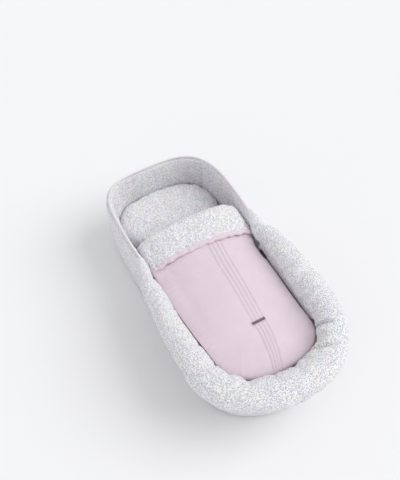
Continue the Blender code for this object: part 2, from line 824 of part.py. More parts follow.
def make_tape(name, side, half, parent=None):
    inner = ZIP_X + half * (SPINE_OUTER + GAP)
    outer = RIM_HALF_WIDTH - WALL_THICKNESS - GAP if half > 0 else COVER_HALF_WIDTH + GAP
    low_x, high_x = sorted((side * inner, side * outer))
    bm = bmesh.new()
    bottom, top = SEAM_Z - TAPE_THICKNESS / 2, SEAM_Z + TAPE_THICKNESS / 2
    block(bm, (low_x, FOLD_Y + FOLD_GAP / 2, bottom), (high_x, ZIP_HEAD_Y, top))
    add_mesh(name, bm, TAPE_COLOUR, parent=parent)


def chain_outline(side, half):
    """A comb: a straight spine with teeth that reach past the zip's middle, up to the slider's post."""
    spine_in = side * (ZIP_X + half * SPINE_INNER)
    spine_out = side * (ZIP_X + half * SPINE_OUTER)
    tip = side * (ZIP_X - half * TOOTH_REACH)
    points = [(spine_out, CHAIN_HEAD_Y), (spine_out, CHAIN_FOOT_Y)]
    first = CHAIN_FOOT_Y + TOOTH_PITCH / 2 - half * TOOTH_PITCH / 4
    count = int((TEETH_HEAD_Y - first - TOOTH_WIDTH / 2) / TOOTH_PITCH) + 1
    points.append((spine_in, CHAIN_FOOT_Y))
    for tooth in range(count):
        y = first + tooth * TOOTH_PITCH
        points.append((spine_in, y - TOOTH_WIDTH / 2))
        points.append((tip, y - TOOTH_TIP_WIDTH / 2))
        points.append((tip, y + TOOTH_TIP_WIDTH / 2))
        points.append((spine_in, y + TOOTH_WIDTH / 2))
    points.append((spine_in, CHAIN_HEAD_Y))
    return points


def make_chain(name, side, half, parent=None):
    """The outline extruded to the chain's height."""
    bm = bmesh.new()
    low = SEAM_Z - CHAIN_HEIGHT / 2
    ring = [bm.verts.new((x, y, low)) for x, y in chain_outline(side, half)]
    edges = [bm.edges.new((ring[i - 1], ring[i])) for i in range(len(ring))]
    bmesh.ops.contextual_create(bm, geom=edges)
    made = bmesh.ops.extrude_face_region(bm, geom=bm.faces[:], use_keep_orig=True)["geom"]
    raised = [item for item in made if isinstance(item, bmesh.types.BMVert)]
    bmesh.ops.translate(bm, verts=raised, vec=(0.0, 0.0, CHAIN_HEIGHT))
    add_mesh(name, bm, TEETH_COLOUR, roughness=0.5, parent=parent)


def make_top_stop(name, side, half, parent=None):
    xs = sorted(side * (ZIP_X + half * share) for share in (SPINE_INNER, SPINE_OUTER))
    low_y = CHAIN_HEAD_Y + GAP
    bm = bmesh.new()
    block(
        bm,
        (xs[0], low_y, SEAM_Z - CHAIN_HEIGHT / 2),
        (xs[1], low_y + TOP_STOP_LENGTH, SEAM_Z + CHAIN_HEIGHT / 2),
    )
    add_mesh(name, bm, METAL, roughness=0.4, metallic=0.8, parent=parent)


def make_bottom_stop(name, side):
    xs = sorted(side * (ZIP_X + half * SPINE_OUTER) for half in (-1, 1))
    bm = bmesh.new()
    block(
        bm,
        (xs[0], FOLD_Y + FOLD_GAP, SEAM_Z - CHAIN_HEIGHT / 2),
        (xs[1], FOLD_Y + BOTTOM_STOP_LENGTH, SEAM_Z + CHAIN_HEIGHT / 2),
    )
    add_mesh(name, bm, METAL, roughness=0.4, metallic=0.8)


def make_slider(name, side, parent):
    """Two plates with flanges that leave a slot for the tapes, a post, and a bridge for the pull."""
    middle_x = side * ZIP_X
    inside = CHAIN_HEIGHT / 2 + PLATE_CLEARANCE
    slot = TAPE_THICKNESS / 2 + SLOT_CLEARANCE
    outside = inside + PLATE_THICKNESS
    half_width, half_length = SLIDER_WIDTH / 2, SLIDER_LENGTH / 2
    bm = bmesh.new()
    block(
        bm,
        (middle_x - half_width, SLIDER_Y - half_length, SEAM_Z - outside),
        (middle_x + half_width, SLIDER_Y + half_length, SEAM_Z + outside),
    )
    bmesh.ops.bevel(
        bm, geom=bm.edges[:], offset=SLIDER_BEVEL, segments=1, profile=0.5, affect="EDGES"
    )
    slider = add_mesh(name, bm, METAL, roughness=0.35, metallic=0.9, parent=parent, smooth=30)
    far = half_length + OVERRUN
    channel = cutter(
        name + "_channel",
        (middle_x - half_width + FLANGE_WIDTH, SLIDER_Y - far, SEAM_Z - inside),
        (middle_x + half_width - FLANGE_WIDTH, SLIDER_Y + far, SEAM_Z + inside),
    )
    slots = cutter(
        name + "_slots",
        (middle_x - half_width - OVERRUN, SLIDER_Y - far, SEAM_Z - slot),
        (middle_x + half_width + OVERRUN, SLIDER_Y + far, SEAM_Z + slot),
    )
    sink = PLATE_THICKNESS / 2
    post = cutter(
        name + "_post",
        (middle_x - POST_WIDTH / 2, SLIDER_Y + half_length - POST_LENGTH, SEAM_Z - inside - sink),
        (middle_x + POST_WIDTH / 2, SLIDER_Y + half_length - SLIDER_BEVEL, SEAM_Z + inside + sink),
    )
    bridge_top = SEAM_Z + outside + BRIDGE_HOLE_HEIGHT + BRIDGE_TOP
    bridge = cutter(
        name + "_bridge",
        (middle_x - BRIDGE_WIDTH / 2, SLIDER_Y - BRIDGE_LENGTH / 2, SEAM_Z + outside - sink),
        (middle_x + BRIDGE_WIDTH / 2, SLIDER_Y + BRIDGE_LENGTH / 2, bridge_top),
    )
    hole_half = BRIDGE_LENGTH / 2 - BRIDGE_LEG
    hole = cutter(
        name + "_bridge_hole",
        (middle_x - half_width, SLIDER_Y - hole_half, SEAM_Z + outside),
        (middle_x + half_width, SLIDER_Y + hole_half, SEAM_Z + outside + BRIDGE_HOLE_HEIGHT),
    )
    combine(bridge, hole, "DIFFERENCE")
    combine(slider, channel, "DIFFERENCE")
    combine(slider, slots, "DIFFERENCE")
    combine(slider, post, "UNION")
    combine(slider, bridge, "UNION")


def make_pull(name, side, parent):
    """A flat tab whose crossbar passes through the slider's bridge."""
    middle_x = side * ZIP_X
    half_width, half = PULL_WIDTH / 2, PULL_THICKNESS / 2
    near = SLIDER_Y + PULL_BAR / 2
    bm = bmesh.new()
    block(
        bm,
        (middle_x - half_width, near - PULL_LENGTH, PULL_Z - half),
        (middle_x + half_width, near, PULL_Z + half),
    )
    upright = [edge for edge in bm.edges if abs((edge.verts[0].co - edge.verts[1].co).normalized().z) > UPRIGHT_SHARE]
    far_edges = [edge for edge in upright if edge.verts[0].co.y < near - PULL_LENGTH / 2]
    bmesh.ops.bevel(
        bm, geom=far_edges, offset=PULL_WIDTH / 3, segments=4, profile=0.5, affect="EDGES"
    )
    tab = add_mesh(name, bm, METAL, roughness=0.35, metallic=0.9, parent=parent, smooth=30)
    window = cutter(
        name + "_window",
        (middle_x - PULL_WINDOW_WIDTH / 2, near - PULL_BAR - PULL_WINDOW_LENGTH, PULL_Z - OVERRUN),
        (middle_x + PULL_WINDOW_WIDTH / 2, near - PULL_BAR, PULL_Z + OVERRUN),
    )
    combine(tab, window, "DIFFERENCE")


def make_zip(word, side, cover_axis):
    make_tape("zip_tape_liner_" + word, side, 1)
    make_tape("zip_tape_cover_" + word, side, -1, cover_axis)
    make_chain("zip_chain_liner_" + word, side, 1)
    make_chain("zip_chain_cover_" + word, side, -1, cover_axis)
    make_top_stop("top_stop_liner_" + word, side, 1)
    make_top_stop("top_stop_cover_" + word, side, -1, cover_axis)
    make_bottom_stop("bottom_stop_" + word, side)
    make_zip_facing("zip_facing_" + word, side)
    slider_axis = add_axis("slider_axis_" + word, (side * ZIP_X, SLIDER_Y, SEAM_Z))
    make_slider("slider_" + word, side, slider_axis)
    pull_axis = add_axis("pull_axis_" + word, (side * ZIP_X, SLIDER_Y, PULL_Z))
    ride_on(pull_axis, slider_axis)
    make_pull("pull_" + word, side, pull_axis)


# Pillow


def pillow_outline(inset):
    """A rounded rectangle seen from above."""
    outline = []
    for angle in steps(0.0, 2 * math.pi, PILLOW_STEPS + 1)[:-1]:
        across = math.copysign(abs(math.cos(angle)) ** (2 / PILLOW_POWER), math.cos(angle))
        along = math.copysign(abs(math.sin(angle)) ** (2 / PILLOW_POWER), math.sin(angle))
        x = (PILLOW_HALF_WIDTH - inset) * across
        y = PILLOW_Y + (PILLOW_HALF_LENGTH - inset) * along
        outline.append(Vector((x, y)))
    return outline


def pillow_pad(inset):
    """The pillow's crowned shape, made smaller all round by the inset."""
    seam_z = PILLOW_Z + PILLOW_SEAM_HEIGHT
    seam_half = max(PILLOW_SEAM_SHARE * PILLOW_HEIGHT / 2 - inset / 2, GAP)

    def top(share):
        bulge = math.sqrt(1 - share**CROWN_POWER)
        return seam_z + seam_half + (PILLOW_HEIGHT - PILLOW_SEAM_HEIGHT - seam_half - inset) * bulge

    def bottom(share):
        rise = max(share - PILLOW_FLAT_SHARE, 0.0) / (1 - PILLOW_FLAT_SHARE)
        floor = PILLOW_Z + inset
        return floor + (seam_z - seam_half - floor) * rise**CROWN_POWER

    centre = Vector((0.0, PILLOW_Y))
    return cushion(pillow_outline(inset), PILLOW_RING_SHARES, centre, top, bottom)


def make_pillow(axis):
    case = add_mesh("pillow_case", pillow_pad(0.0), FLORAL, parent=axis)
    inside = add_cutter("pillow_hollow", pillow_pad(PILLOW_CASE_THICKNESS))
    foot_y = PILLOW_Y - PILLOW_HALF_LENGTH
    seam_z = PILLOW_Z + PILLOW_SEAM_HEIGHT
    slit = cutter(
        "pillow_slit",
        (-PILLOW_SLIT_HALF_WIDTH, foot_y - OVERRUN, seam_z - PILLOW_SLIT_HEIGHT / 2),
        (PILLOW_SLIT_HALF_WIDTH, foot_y + 2 * OVERRUN, seam_z + PILLOW_SLIT_HEIGHT / 2),
    )
    combine(case, inside, "DIFFERENCE")
    combine(case, slit, "DIFFERENCE")
    filling = pillow_pad(PILLOW_CASE_THICKNESS + LAYER_GAP)
    add_mesh("pillow_filling", filling, WHITE, parent=axis)


def main():
    make_base_pad()
    make_walls()
    make_piping()
    make_roll_case()
    make_roll_filling()
    make_roll_end("roll_end_right", 1)
    make_roll_end("roll_end_left", -1)
    make_skirt()
    make_elastic()
    make_gusset()
    make_foot_panel()
    cover_axis = add_axis("cover_axis", (0.0, FOLD_Y, FOLD_AXIS_Z))
    make_flap(cover_axis)
    make_tag(cover_axis)
    cuff_axis = add_axis("cuff_axis", (0.0, CUFF_AXIS_Y, CUFF_AXIS_Z))
    ride_on(cuff_axis, cover_axis)
    make_cuff(cuff_axis)
    make_zip("right", 1, cover_axis)
    make_zip("left", -1, cover_axis)
    pillow_axis = add_axis("pillow_axis", (0.0, PILLOW_Y, PILLOW_Z))
    make_pillow(pillow_axis)


clear_scene()
PARTS = new_collection("pram_footmuff")
CUTTERS = new_collection("cutters")
main()
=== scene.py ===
"""A padded pram footmuff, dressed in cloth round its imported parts. Metres, +Z up, head end at +Y."""
import math

import bmesh
import bpy
import numpy as np
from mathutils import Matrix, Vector, noise
from mathutils.bvhtree import BVHTree


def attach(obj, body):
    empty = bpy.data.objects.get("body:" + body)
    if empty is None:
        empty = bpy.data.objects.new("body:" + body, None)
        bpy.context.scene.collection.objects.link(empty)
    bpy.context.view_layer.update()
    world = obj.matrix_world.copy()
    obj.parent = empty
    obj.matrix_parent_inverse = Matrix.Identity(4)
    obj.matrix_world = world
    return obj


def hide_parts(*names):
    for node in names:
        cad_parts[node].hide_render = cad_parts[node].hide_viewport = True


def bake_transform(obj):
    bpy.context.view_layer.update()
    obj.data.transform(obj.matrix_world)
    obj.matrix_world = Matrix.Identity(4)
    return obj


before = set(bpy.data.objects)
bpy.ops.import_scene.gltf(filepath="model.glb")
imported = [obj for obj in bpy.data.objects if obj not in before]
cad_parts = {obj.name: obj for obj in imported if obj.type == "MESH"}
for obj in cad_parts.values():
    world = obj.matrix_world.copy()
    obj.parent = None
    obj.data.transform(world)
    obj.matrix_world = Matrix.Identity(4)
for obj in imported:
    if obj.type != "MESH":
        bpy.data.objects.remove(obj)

bl_info = {
    "name": "Pram footmuff",
    "version": (1, 0, 0),
    "blender": (4, 5, 0),
    "location": "View3D > Sidebar > Footmuff",
    "description": "Builds a padded pram footmuff round its packed parts",
    "category": "Add Mesh",
}

# Rim line: the outer face of the walls, seen from above
RIM_HALF = 0.182
FOOT_Y = -0.2315
FOOT_DEPTH = 0.145
HEAD_Y = 0.2175
HEAD_DEPTH = 0.220
HEAD_POWER = 3.2
FOOT_STEPS = 360
SIDE_STEPS = 200
HEAD_STEPS = 720
NORMAL_SPAN = 0.002

# Seam between the liner and the cover
SEAM_Z = 0.1445


# Curves that shape the cloth

def eased(share):
    """Runs smoothly from 0 to 1 and stays there."""
    share = clamped(float(share))
    return share * share * (3 - 2 * share)


def bump(distance, width):
    """One at no distance, falling smoothly to nothing at the width."""
    return eased(1 - abs(distance) / width)


def clamped(share):
    return min(max(share, 0.0), 1.0)


def puffed(distance, rounding):
    """A quarter circle: 0 at an edge and 1 beyond the rounding."""
    share = clamped(distance / rounding)
    return math.sqrt(1 - (1 - share) ** 2)


def lumps(point, size, seed=0.0):
    """Smooth noise between about -1 and 1."""
    return noise.noise(Vector(point) / size + Vector((seed, seed * 1.7, -seed)))


def ripple(run, pitch, wander, spot, size, seed):
    """A wave along a run, with crests that wander."""
    return math.sin(2 * math.pi * run / pitch + wander * lumps(spot, size, seed))


def stations(low, high, step):
    """Evenly spaced places, about a step apart."""
    return list(np.linspace(low, high, max(2, int(round((high - low) / step)) + 1)))


def sine_spread(half, count):
    """Places to both sides of a middle, closer together towards the ends."""
    return [half * math.sin(math.pi / 2 * t) for t in np.linspace(-1, 1, count)]


class RimLine:
    """The rim seen from above, by its length from the foot's tip, positive to the right."""

    def __init__(self):
        points = []
        for k in range(FOOT_STEPS + 1):
            t = math.pi / 2 * (1 - k / FOOT_STEPS)
            points.append((RIM_HALF * math.cos(t), FOOT_Y - FOOT_DEPTH * math.sin(t)))
        for k in range(1, SIDE_STEPS):
            points.append((RIM_HALF, FOOT_Y + (HEAD_Y - FOOT_Y) * k / SIDE_STEPS))
        for k in range(HEAD_STEPS + 1):
            t = math.pi / 2 * k / HEAD_STEPS
            x = RIM_HALF * math.cos(t) ** (2 / HEAD_POWER) if k < HEAD_STEPS else 0.0
            points.append((x, HEAD_Y + HEAD_DEPTH * math.sin(t) ** (2 / HEAD_POWER)))
        self.points = np.array(points)
        steps = np.hypot(*np.diff(self.points, axis=0).T)
        self.lengths = np.concatenate(([0.0], np.cumsum(steps)))
        self.foot = self.lengths[FOOT_STEPS]
        self.half = self.lengths[-1]

    def spot(self, length):
        return np.array([np.interp(length, self.lengths, self.points[:, i]) for i in (0, 1)])

    def at(self, length):
        """Point and outward normal."""
        s = min(abs(length), self.half)
        low, high = max(s - NORMAL_SPAN, 0.0), min(s + NORMAL_SPAN, self.half)
        spot, along = self.spot(s), self.spot(high) - self.spot(low)
        if low == 0.0:
            along[1] *= s / NORMAL_SPAN
        if high == self.half:
            along[1] *= (self.half - s) / NORMAL_SPAN
        along = along / np.hypot(*along)
        sign = 1 if length >= 0 else -1
        return np.array([sign * spot[0], spot[1]]), np.array([sign * along[1], -along[0]])

    def length_at(self, y):
        """Length from the foot's tip to a place on the straight side."""
        return self.foot + (y - FOOT_Y)

    def head_length(self, y):
        """Length from the foot's tip to a place beyond the foot."""
        return float(np.interp(y, self.points[FOOT_STEPS:, 1], self.lengths[FOOT_STEPS:]))

    def length_at_angle(self, degrees):
        """Length at an angle round the foot, counted from the right-hand side."""
        if degrees < 0:
            return self.foot + math.radians(-degrees) * RIM_HALF
        if degrees > 180:
            return -(self.foot + math.radians(degrees - 180) * RIM_HALF)
        step = FOOT_STEPS * abs(1 - degrees / 90)
        length = np.interp(step, np.arange(FOOT_STEPS + 1), self.lengths[:FOOT_STEPS + 1])
        return length if degrees <= 90 else -length


RIM = RimLine()


def offset(length, out, z):
    """A point beside the rim line, at a height."""
    spot, normal = RIM.at(length)
    return Vector((*(spot + normal * out), z))


# Meshes

MERGE_DISTANCE = 2e-5
LEAST_AREA = 1e-12
LEAST_MOVE = 1e-9
CLOTH_STIFFNESS = 15.0
CLOTH_FRAMES = 20


def surface(columns, rows, place, scale=(1.0, 1.0), material=0):
    """A grid laid where place(column, row) says, with a map in metres."""
    bm = bmesh.new()
    across, along = len(columns) - 1, len(rows) - 1
    bmesh.ops.create_grid(bm, x_segments=across, y_segments=along, size=0.5)
    layer = bm.loops.layers.uv.new("cloth")
    spots = {}
    for v in bm.verts:
        spots[v] = (columns[round((v.co.x + 0.5) * across)], rows[round((v.co.y + 0.5) * along)])
    for face in bm.faces:
        face.material_index = material
        for loop in face.loops:
            column, row = spots[loop.vert]
            loop[layer].uv = (column * scale[0], row * scale[1])
    for v, (column, row) in spots.items():
        v.co = place(column, row)
    return bm


def map_cloth(grids, place):
    """Lays the cloth's map where place(point) says."""
    for grid in grids:
        layer = grid.loops.layers.uv["cloth"]
        for face in grid.faces:
            for loop in face.loops:
                loop[layer].uv = place(loop.vert.co)


def merged(*grids):
    """Joins grids into one closed mesh, along the edges where they meet."""
    whole = bmesh.new()
    for grid in grids:
        mesh = bpy.data.meshes.new("grid")
        grid.to_mesh(mesh)
        grid.free()
        whole.from_mesh(mesh)
        bpy.data.meshes.remove(mesh)
    bmesh.ops.remove_doubles(whole, verts=whole.verts[:], dist=MERGE_DISTANCE)
    loose = [face for face in whole.faces if face.calc_area() < LEAST_AREA]
    bmesh.ops.delete(whole, geom=loose, context="FACES_ONLY")
    bmesh.ops.recalc_face_normals(whole, faces=whole.faces[:])
    return whole


def thickened(bm, thickness):
    """Gives an open sheet its thickness."""
    bmesh.ops.recalc_face_normals(bm, faces=bm.faces[:])
    bmesh.ops.solidify(bm, geom=bm.faces[:], thickness=thickness)
    bmesh.ops.recalc_face_normals(bm, faces=bm.faces[:])
    return bm


def spaced(low, high, count):
    return list(np.linspace(low, high, count))


def pad(columns, rows, place, top, bottom, materials=(0, 0)):
    """A closed pad: a grid over and a grid under, sewn together round the edge."""
    def height(column, row, own):
        x, y = place(column, row)
        if column in (columns[0], columns[-1]) or row in (rows[0], rows[-1]):
            return Vector((x, y, (top(x, y) + bottom(x, y)) / 2))
        return Vector((x, y, own(x, y)))

    over = surface(columns, rows, lambda c, r: height(c, r, top), material=materials[0])
    under = surface(columns, rows, lambda c, r: height(c, r, bottom), material=materials[1])
    map_cloth((over, under), lambda co: PRINT_SCALE * co.xy)
    return merged(over, under)


def finished(name, bm, materials, angle=50):
    """Turns a bmesh into a named piece."""
    mesh = bpy.data.meshes.new(name)
    bm.to_mesh(mesh)
    bm.free()
    mesh.shade_smooth()
    mesh.set_sharp_from_angle(angle=math.radians(angle))
    obj = bpy.data.objects.new(name, mesh)
    bpy.context.scene.collection.objects.link(obj)
    for material in materials:
        mesh.materials.append(material)
    return obj


def dress(obj, body, replaced):
    """Lets a piece ride on a body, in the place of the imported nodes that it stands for."""
    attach(obj, body)
    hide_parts(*replaced)


def subdivide(obj):
    """One level of Catmull-Clark subdivision, applied."""
    rounding = obj.modifiers.new("round", "SUBSURF")
    rounding.levels = rounding.render_levels = 1
    evaluated = obj.evaluated_get(bpy.context.evaluated_depsgraph_get())
    mesh = bpy.data.meshes.new_from_object(evaluated)
    old = obj.data
    obj.modifiers.clear()
    obj.data = mesh
    mesh.name = obj.name
    bpy.data.meshes.remove(old)


def values_of(vertices, kind):
    """Places or normals of all vertices, as an array."""
    values = np.empty(len(vertices) * 3)
    vertices.foreach_get(kind, values)
    return values.reshape(-1, 3)


def plump(obj, cap, pressure, pinned, shrink):
    """Blows the closed piece up as cloth and keeps at most cap metres of the movement."""
    before = values_of(obj.data.vertices, "co")
    cloth_modifier = obj.modifiers.new("puff", "CLOTH")
    settings = cloth_modifier.settings
    settings.quality = 6
    settings.mass = 0.15
    settings.tension_stiffness = settings.compression_stiffness = CLOTH_STIFFNESS
    settings.shear_stiffness = CLOTH_STIFFNESS / 2
    settings.bending_stiffness = 0.3
    settings.use_pressure = True
    settings.uniform_pressure_force = pressure
    settings.shrink_min = shrink
    settings.effector_weights.gravity = 0.0
    cloth_modifier.collision_settings.use_collision = False
    cloth_modifier.collision_settings.use_self_collision = False
    group = obj.vertex_groups.new(name="held")
    group.add([i for i, co in enumerate(before) if pinned(co)], 1.0, "REPLACE")
    settings.vertex_group_mass = "held"
    cloth_modifier.point_cache.frame_start, cloth_modifier.point_cache.frame_end = 1, CLOTH_FRAMES
    scene = bpy.context.scene
    for number in range(1, CLOTH_FRAMES + 1):
        scene.frame_set(number)
    evaluated = obj.evaluated_get(bpy.context.evaluated_depsgraph_get())
    move = values_of(evaluated.data.vertices, "co") - before
    far = np.linalg.norm(move, axis=1, keepdims=True)
    move *= np.minimum(1.0, cap / np.maximum(far, LEAST_MOVE))
    obj.modifiers.clear()
    scene.frame_set(1)
    obj.data.vertices.foreach_set("co", (before + move).ravel())
    obj.data.update()


def sculpt(obj, shift):
    """Moves each vertex by what shift(point, normal) says."""
    co = values_of(obj.data.vertices, "co")
    normals = values_of(obj.data.vertices, "normal")
    moved = [np.array(p) + np.array(shift(Vector(p), Vector(n))) for p, n in zip(co, normals)]
    obj.data.vertices.foreach_set("co", np.array(moved).ravel())
    obj.data.update()


def height_over(obj):
    """Height of a piece's upper face over a place."""
    tree = BVHTree.FromObject(obj, bpy.context.evaluated_depsgraph_get())

    def height(x, y, otherwise):
        hit = tree.ray_cast(Vector((x, y, 1.0)), Vector((0, 0, -1)))[0]
        return hit.z if hit else otherwise

    return height


# Materials

PRINT_SCALE = 0.85
WALL_PRINT_SCALE = 0.8


class Nodes:
    """A small helper that adds shader nodes and links them."""

    def __init__(self, name, roughness):
        self.material = bpy.data.materials.new(name)
        self.material.use_nodes = True
        self.tree = self.material.node_tree
        self.shader = self.tree.nodes["Principled BSDF"]
        self.shader.inputs["Roughness"].default_value = roughness

    def feed(self, socket, value):
        """Links another node's output to a socket, or sets the socket's value."""
        if isinstance(value, bpy.types.NodeSocket):
            self.tree.links.new(value, socket)
        else:
            socket.default_value = value

    def add(self, kind, values=None, **settings):
        node = self.tree.nodes.new("ShaderNode" + kind)
        for key, value in settings.items():
            setattr(node, key, value)
        for key, value in (values or {}).items():
            self.feed(node.inputs[key], value)
        return node

    def math(self, operation, a, b=0.0, c=0.0):
        node = self.add("Math", operation=operation)
        for socket, value in zip(node.inputs, (a, b, c)):
            self.feed(socket, value)
        return node.outputs[0]

    def mix(self, factor, a, b):
        node = self.add("Mix", data_type="RGBA")
        for number, value in ((0, factor), (6, a), (7, b)):
            self.feed(node.inputs[number], value)
        return node.outputs[2]

    def place(self):
        """Places on the piece, in metres."""
        return self.add("TexCoord").outputs["Object"]

    def noise(self, position, scale, **values):
        return self.add("TexNoise", {"Vector": position, "Scale": scale, **values}).outputs[0]

    def cells(self, position, scale, randomness, feature="F1"):
        """Outputs of a flat pattern of cells."""
        values = {"Vector": position, "Scale": scale, "Randomness": randomness}
        return self.add("TexVoronoi", values, voronoi_dimensions="2D", feature=feature).outputs

    def spread(self, value, low, high, first=0.0, last=1.0):
        """Maps what lies from low to high to the range from first to last."""
        values = {"Value": value, "From Min": low, "From Max": high, "To Min": first, "To Max": last}
        return self.add("MapRange", values).outputs[0]

    def raised(self, height, strength, distance, **values):
        """A normal that follows a height."""
        values.update(Height=height, Strength=strength, Distance=distance)
        return self.add("Bump", values).outputs[0]

    def ramp(self, factor, colours, shift=0.0, interpolation="LINEAR"):
        """Colours that follow one another evenly."""
        node = self.add("ValToRGB", {"Fac": factor})
        node.color_ramp.interpolation = interpolation
        stops = node.color_ramp.elements
        while len(stops) < len(colours):
            stops.new(0.5)
        for k, colour in enumerate(colours):
            stops[k].position = (k + shift) / len(colours)
            stops[k].color = colour
        return node.outputs[0]

    def to(self, socket, value):
        self.tree.links.new(value, self.shader.inputs[socket])


def linear(*colour):
    """A screen colour of 0 to 255 as linear values."""
    def value(v):
        return v / 255 / 12.92 if v <= 10 else ((v / 255 + 0.055) / 1.055) ** 2.4

    return (*map(value, colour), 1.0)


def darker(colour, share):
    """The same colour with a share of its light."""
    return (*(v * share for v in colour[:3]), 1.0)


def weave(m, position, pitch, depth):
    """Plain weave: over and under threads as a bump."""
    parts = m.add("SeparateXYZ", {"Vector": position}).outputs
    turn = 2 * math.pi / pitch
    across = m.math("SINE", m.math("MULTIPLY", parts[0], turn))
    along = m.math("SINE", m.math("MULTIPLY", parts[1], turn))
    slubs = m.noise(position, 900.0, Detail=3.0)
    return m.raised(m.math("ADD", m.math("MULTIPLY", across, along), slubs), 0.35, depth)


def creased(m, position, normal, scale, depth):
    """Small soft creases under the weave."""
    folds = m.noise(position, scale, Detail=4.0, Roughness=0.55, Distortion=0.6)
    return m.raised(folds, 0.5, depth, Normal=normal)


def plain_cotton(name, colour, shade):
    """Plain cotton that varies a little in tone, with a fine weave."""
    m = Nodes(name, 0.88)
    where = m.place()
    clouds = m.noise(where, 9.0, Detail=3.0, Roughness=0.6)
    stretched = m.add("Mapping", {"Vector": where, "Scale": (900.0, 60.0, 300.0)}).outputs[0]
    threads = m.noise(stretched, 1.0, Detail=2.0)
    tone = m.math("ADD", m.math("MULTIPLY", clouds, 0.75), m.math("MULTIPLY", threads, 0.25))
    m.to("Base Color", m.mix(m.spread(tone, 0.35, 0.65), shade, colour))
    woven = weave(m, m.add("UVMap").outputs[0], 0.0007, 0.0002)
    m.to("Normal", creased(m, where, woven, 38.0, 0.0011))
    m.shader.inputs["Sheen Weight"].default_value = 0.25
    m.shader.inputs["Sheen Roughness"].default_value = 0.6
    return m.material


def motif(m, ground, position, scale, seed, size, petals, palette, cover):
    """Scatters small flowers or leaves over the ground colour."""
    shifted = m.add("Mapping", {"Vector": position, "Location": (seed, seed * 0.37, 0.0)}).outputs[0]
    cells = m.cells(shifted, scale, 0.85)
    away = m.add("VectorMath", {0: shifted, 1: cells["Position"]}, operation="SUBTRACT").outputs[0]
    parts = m.add("SeparateXYZ", {"Vector": away}).outputs
    dice = m.add("SeparateColor", {"Color": cells["Color"]}).outputs
    angle = m.math("ADD", m.math("ARCTAN2", parts[1], parts[0]), m.math("MULTIPLY", dice[0], 6.28))
    wave = m.math("COSINE", m.math("MULTIPLY", angle, float(petals)))
    edge = m.math("MULTIPLY_ADD", wave, size * 0.28, size * 0.72)
    shape = m.spread(m.math("SUBTRACT", edge, cells["Distance"]), 0.0, 0.06)
    shown = m.math("MULTIPLY", shape, m.math("LESS_THAN", dice[1], cover))
    colours = m.ramp(dice[2], palette, interpolation="CONSTANT")
    return m.mix(shown, ground, colours), cells["Distance"], shown


WASHES = (linear(248, 238, 242), linear(244, 247, 236), linear(240, 243, 249), linear(246, 240, 250),
          linear(247, 245, 245))
LEAVES = (linear(156, 158, 168), linear(169, 169, 181), linear(144, 146, 160), linear(187, 181, 193))
BUDS = (linear(184, 176, 192), linear(204, 190, 198), linear(168, 170, 188), linear(176, 172, 186),
        linear(212, 204, 190))
FLOWERS = (linear(182, 176, 192), linear(216, 192, 200), linear(172, 176, 194), linear(198, 192, 206),
           linear(222, 212, 190), linear(160, 162, 174))
STEM_COLOUR = linear(166, 166, 175)
HEART_COLOUR = linear(236, 226, 200)


def floral_cotton(name, ground):
    """Cotton printed all over with tiny stems, leaves and flowers, mostly grey on off-white."""
    m = Nodes(name, 0.9)
    where = m.add("UVMap").outputs[0]
    clouds = m.noise(where, 45.0, Detail=2.0)
    base = m.mix(clouds, darker(ground, 0.95), ground)
    tints = m.cells(where, 38.0, 1.0, "SMOOTH_F1")["Color"]
    hue = m.ramp(m.add("SeparateColor", {"Color": tints}).outputs[1], WASHES, shift=0.5)
    base = m.mix(0.45, base, hue)
    # Thin wandering stems
    lines = m.spread(m.cells(where, 210.0, 1.0, "DISTANCE_TO_EDGE")["Distance"], 0.05, 0.11, 1.0, 0.0)
    broken = m.math("GREATER_THAN", m.noise(where, 330.0, Detail=1.0), 0.47)
    stem = m.math("MULTIPLY", lines, broken)
    colour = m.mix(m.math("MULTIPLY", stem, 0.72), base, STEM_COLOUR)
    colour, _, _ = motif(m, colour, where, 300.0, 3.1, 0.42, 2, LEAVES, 0.56)
    colour, _, _ = motif(m, colour, where, 400.0, 7.7, 0.34, 4, BUDS, 0.36)
    colour, distance, shown = motif(m, colour, where, 150.0, 1.3, 0.36, 5, FLOWERS, 0.36)
    heart = m.math("MULTIPLY", m.math("LESS_THAN", distance, 0.10), shown)
    m.to("Base Color", m.mix(heart, colour, HEART_COLOUR))
    m.to("Normal", creased(m, m.place(), weave(m, where, 0.0008, 0.00025), 30.0, 0.0016))
    m.shader.inputs["Sheen Weight"].default_value = 0.2
    return m.material


def tape_cloth(name, colour):
    """Zip tape with its ribbed weave."""
    m = Nodes(name, 0.85)
    where = m.add("UVMap").outputs[0]
    parts = m.add("SeparateXYZ", {"Vector": where}).outputs
    ribs = m.math("SINE", m.math("MULTIPLY", parts[0], 2 * math.pi / 0.0009))
    m.to("Normal", m.raised(ribs, 0.5, 0.0002))
    m.to("Base Color", m.mix(m.noise(where, 400.0), colour, darker(colour, 0.8)))
    return m.material


def hard(name, colour, roughness, metallic, wear):
    """Plastic or lacquered metal with fine marks."""
    m = Nodes(name, roughness)
    marks = m.noise(m.place(), 500.0, Detail=4.0)
    m.to("Roughness", m.spread(marks, 0.0, 1.0, roughness - wear, roughness + wear))
    m.to("Base Color", m.mix(marks, colour, darker(colour, 0.82)))
    m.shader.inputs["Metallic"].default_value = metallic
    return m.material


def leather(name, colour):
    """Fine-grained leather."""
    m = Nodes(name, 0.6)
    values = {"Vector": m.place(), "Scale": 1400.0}
    grain = m.add("TexVoronoi", values, feature="SMOOTH_F1").outputs["Distance"]
    m.to("Normal", m.raised(grain, 0.4, 0.0002))
    m.to("Base Color", m.mix(grain, colour, darker(colour, 0.8)))
    return m.material


CLOTH = {}


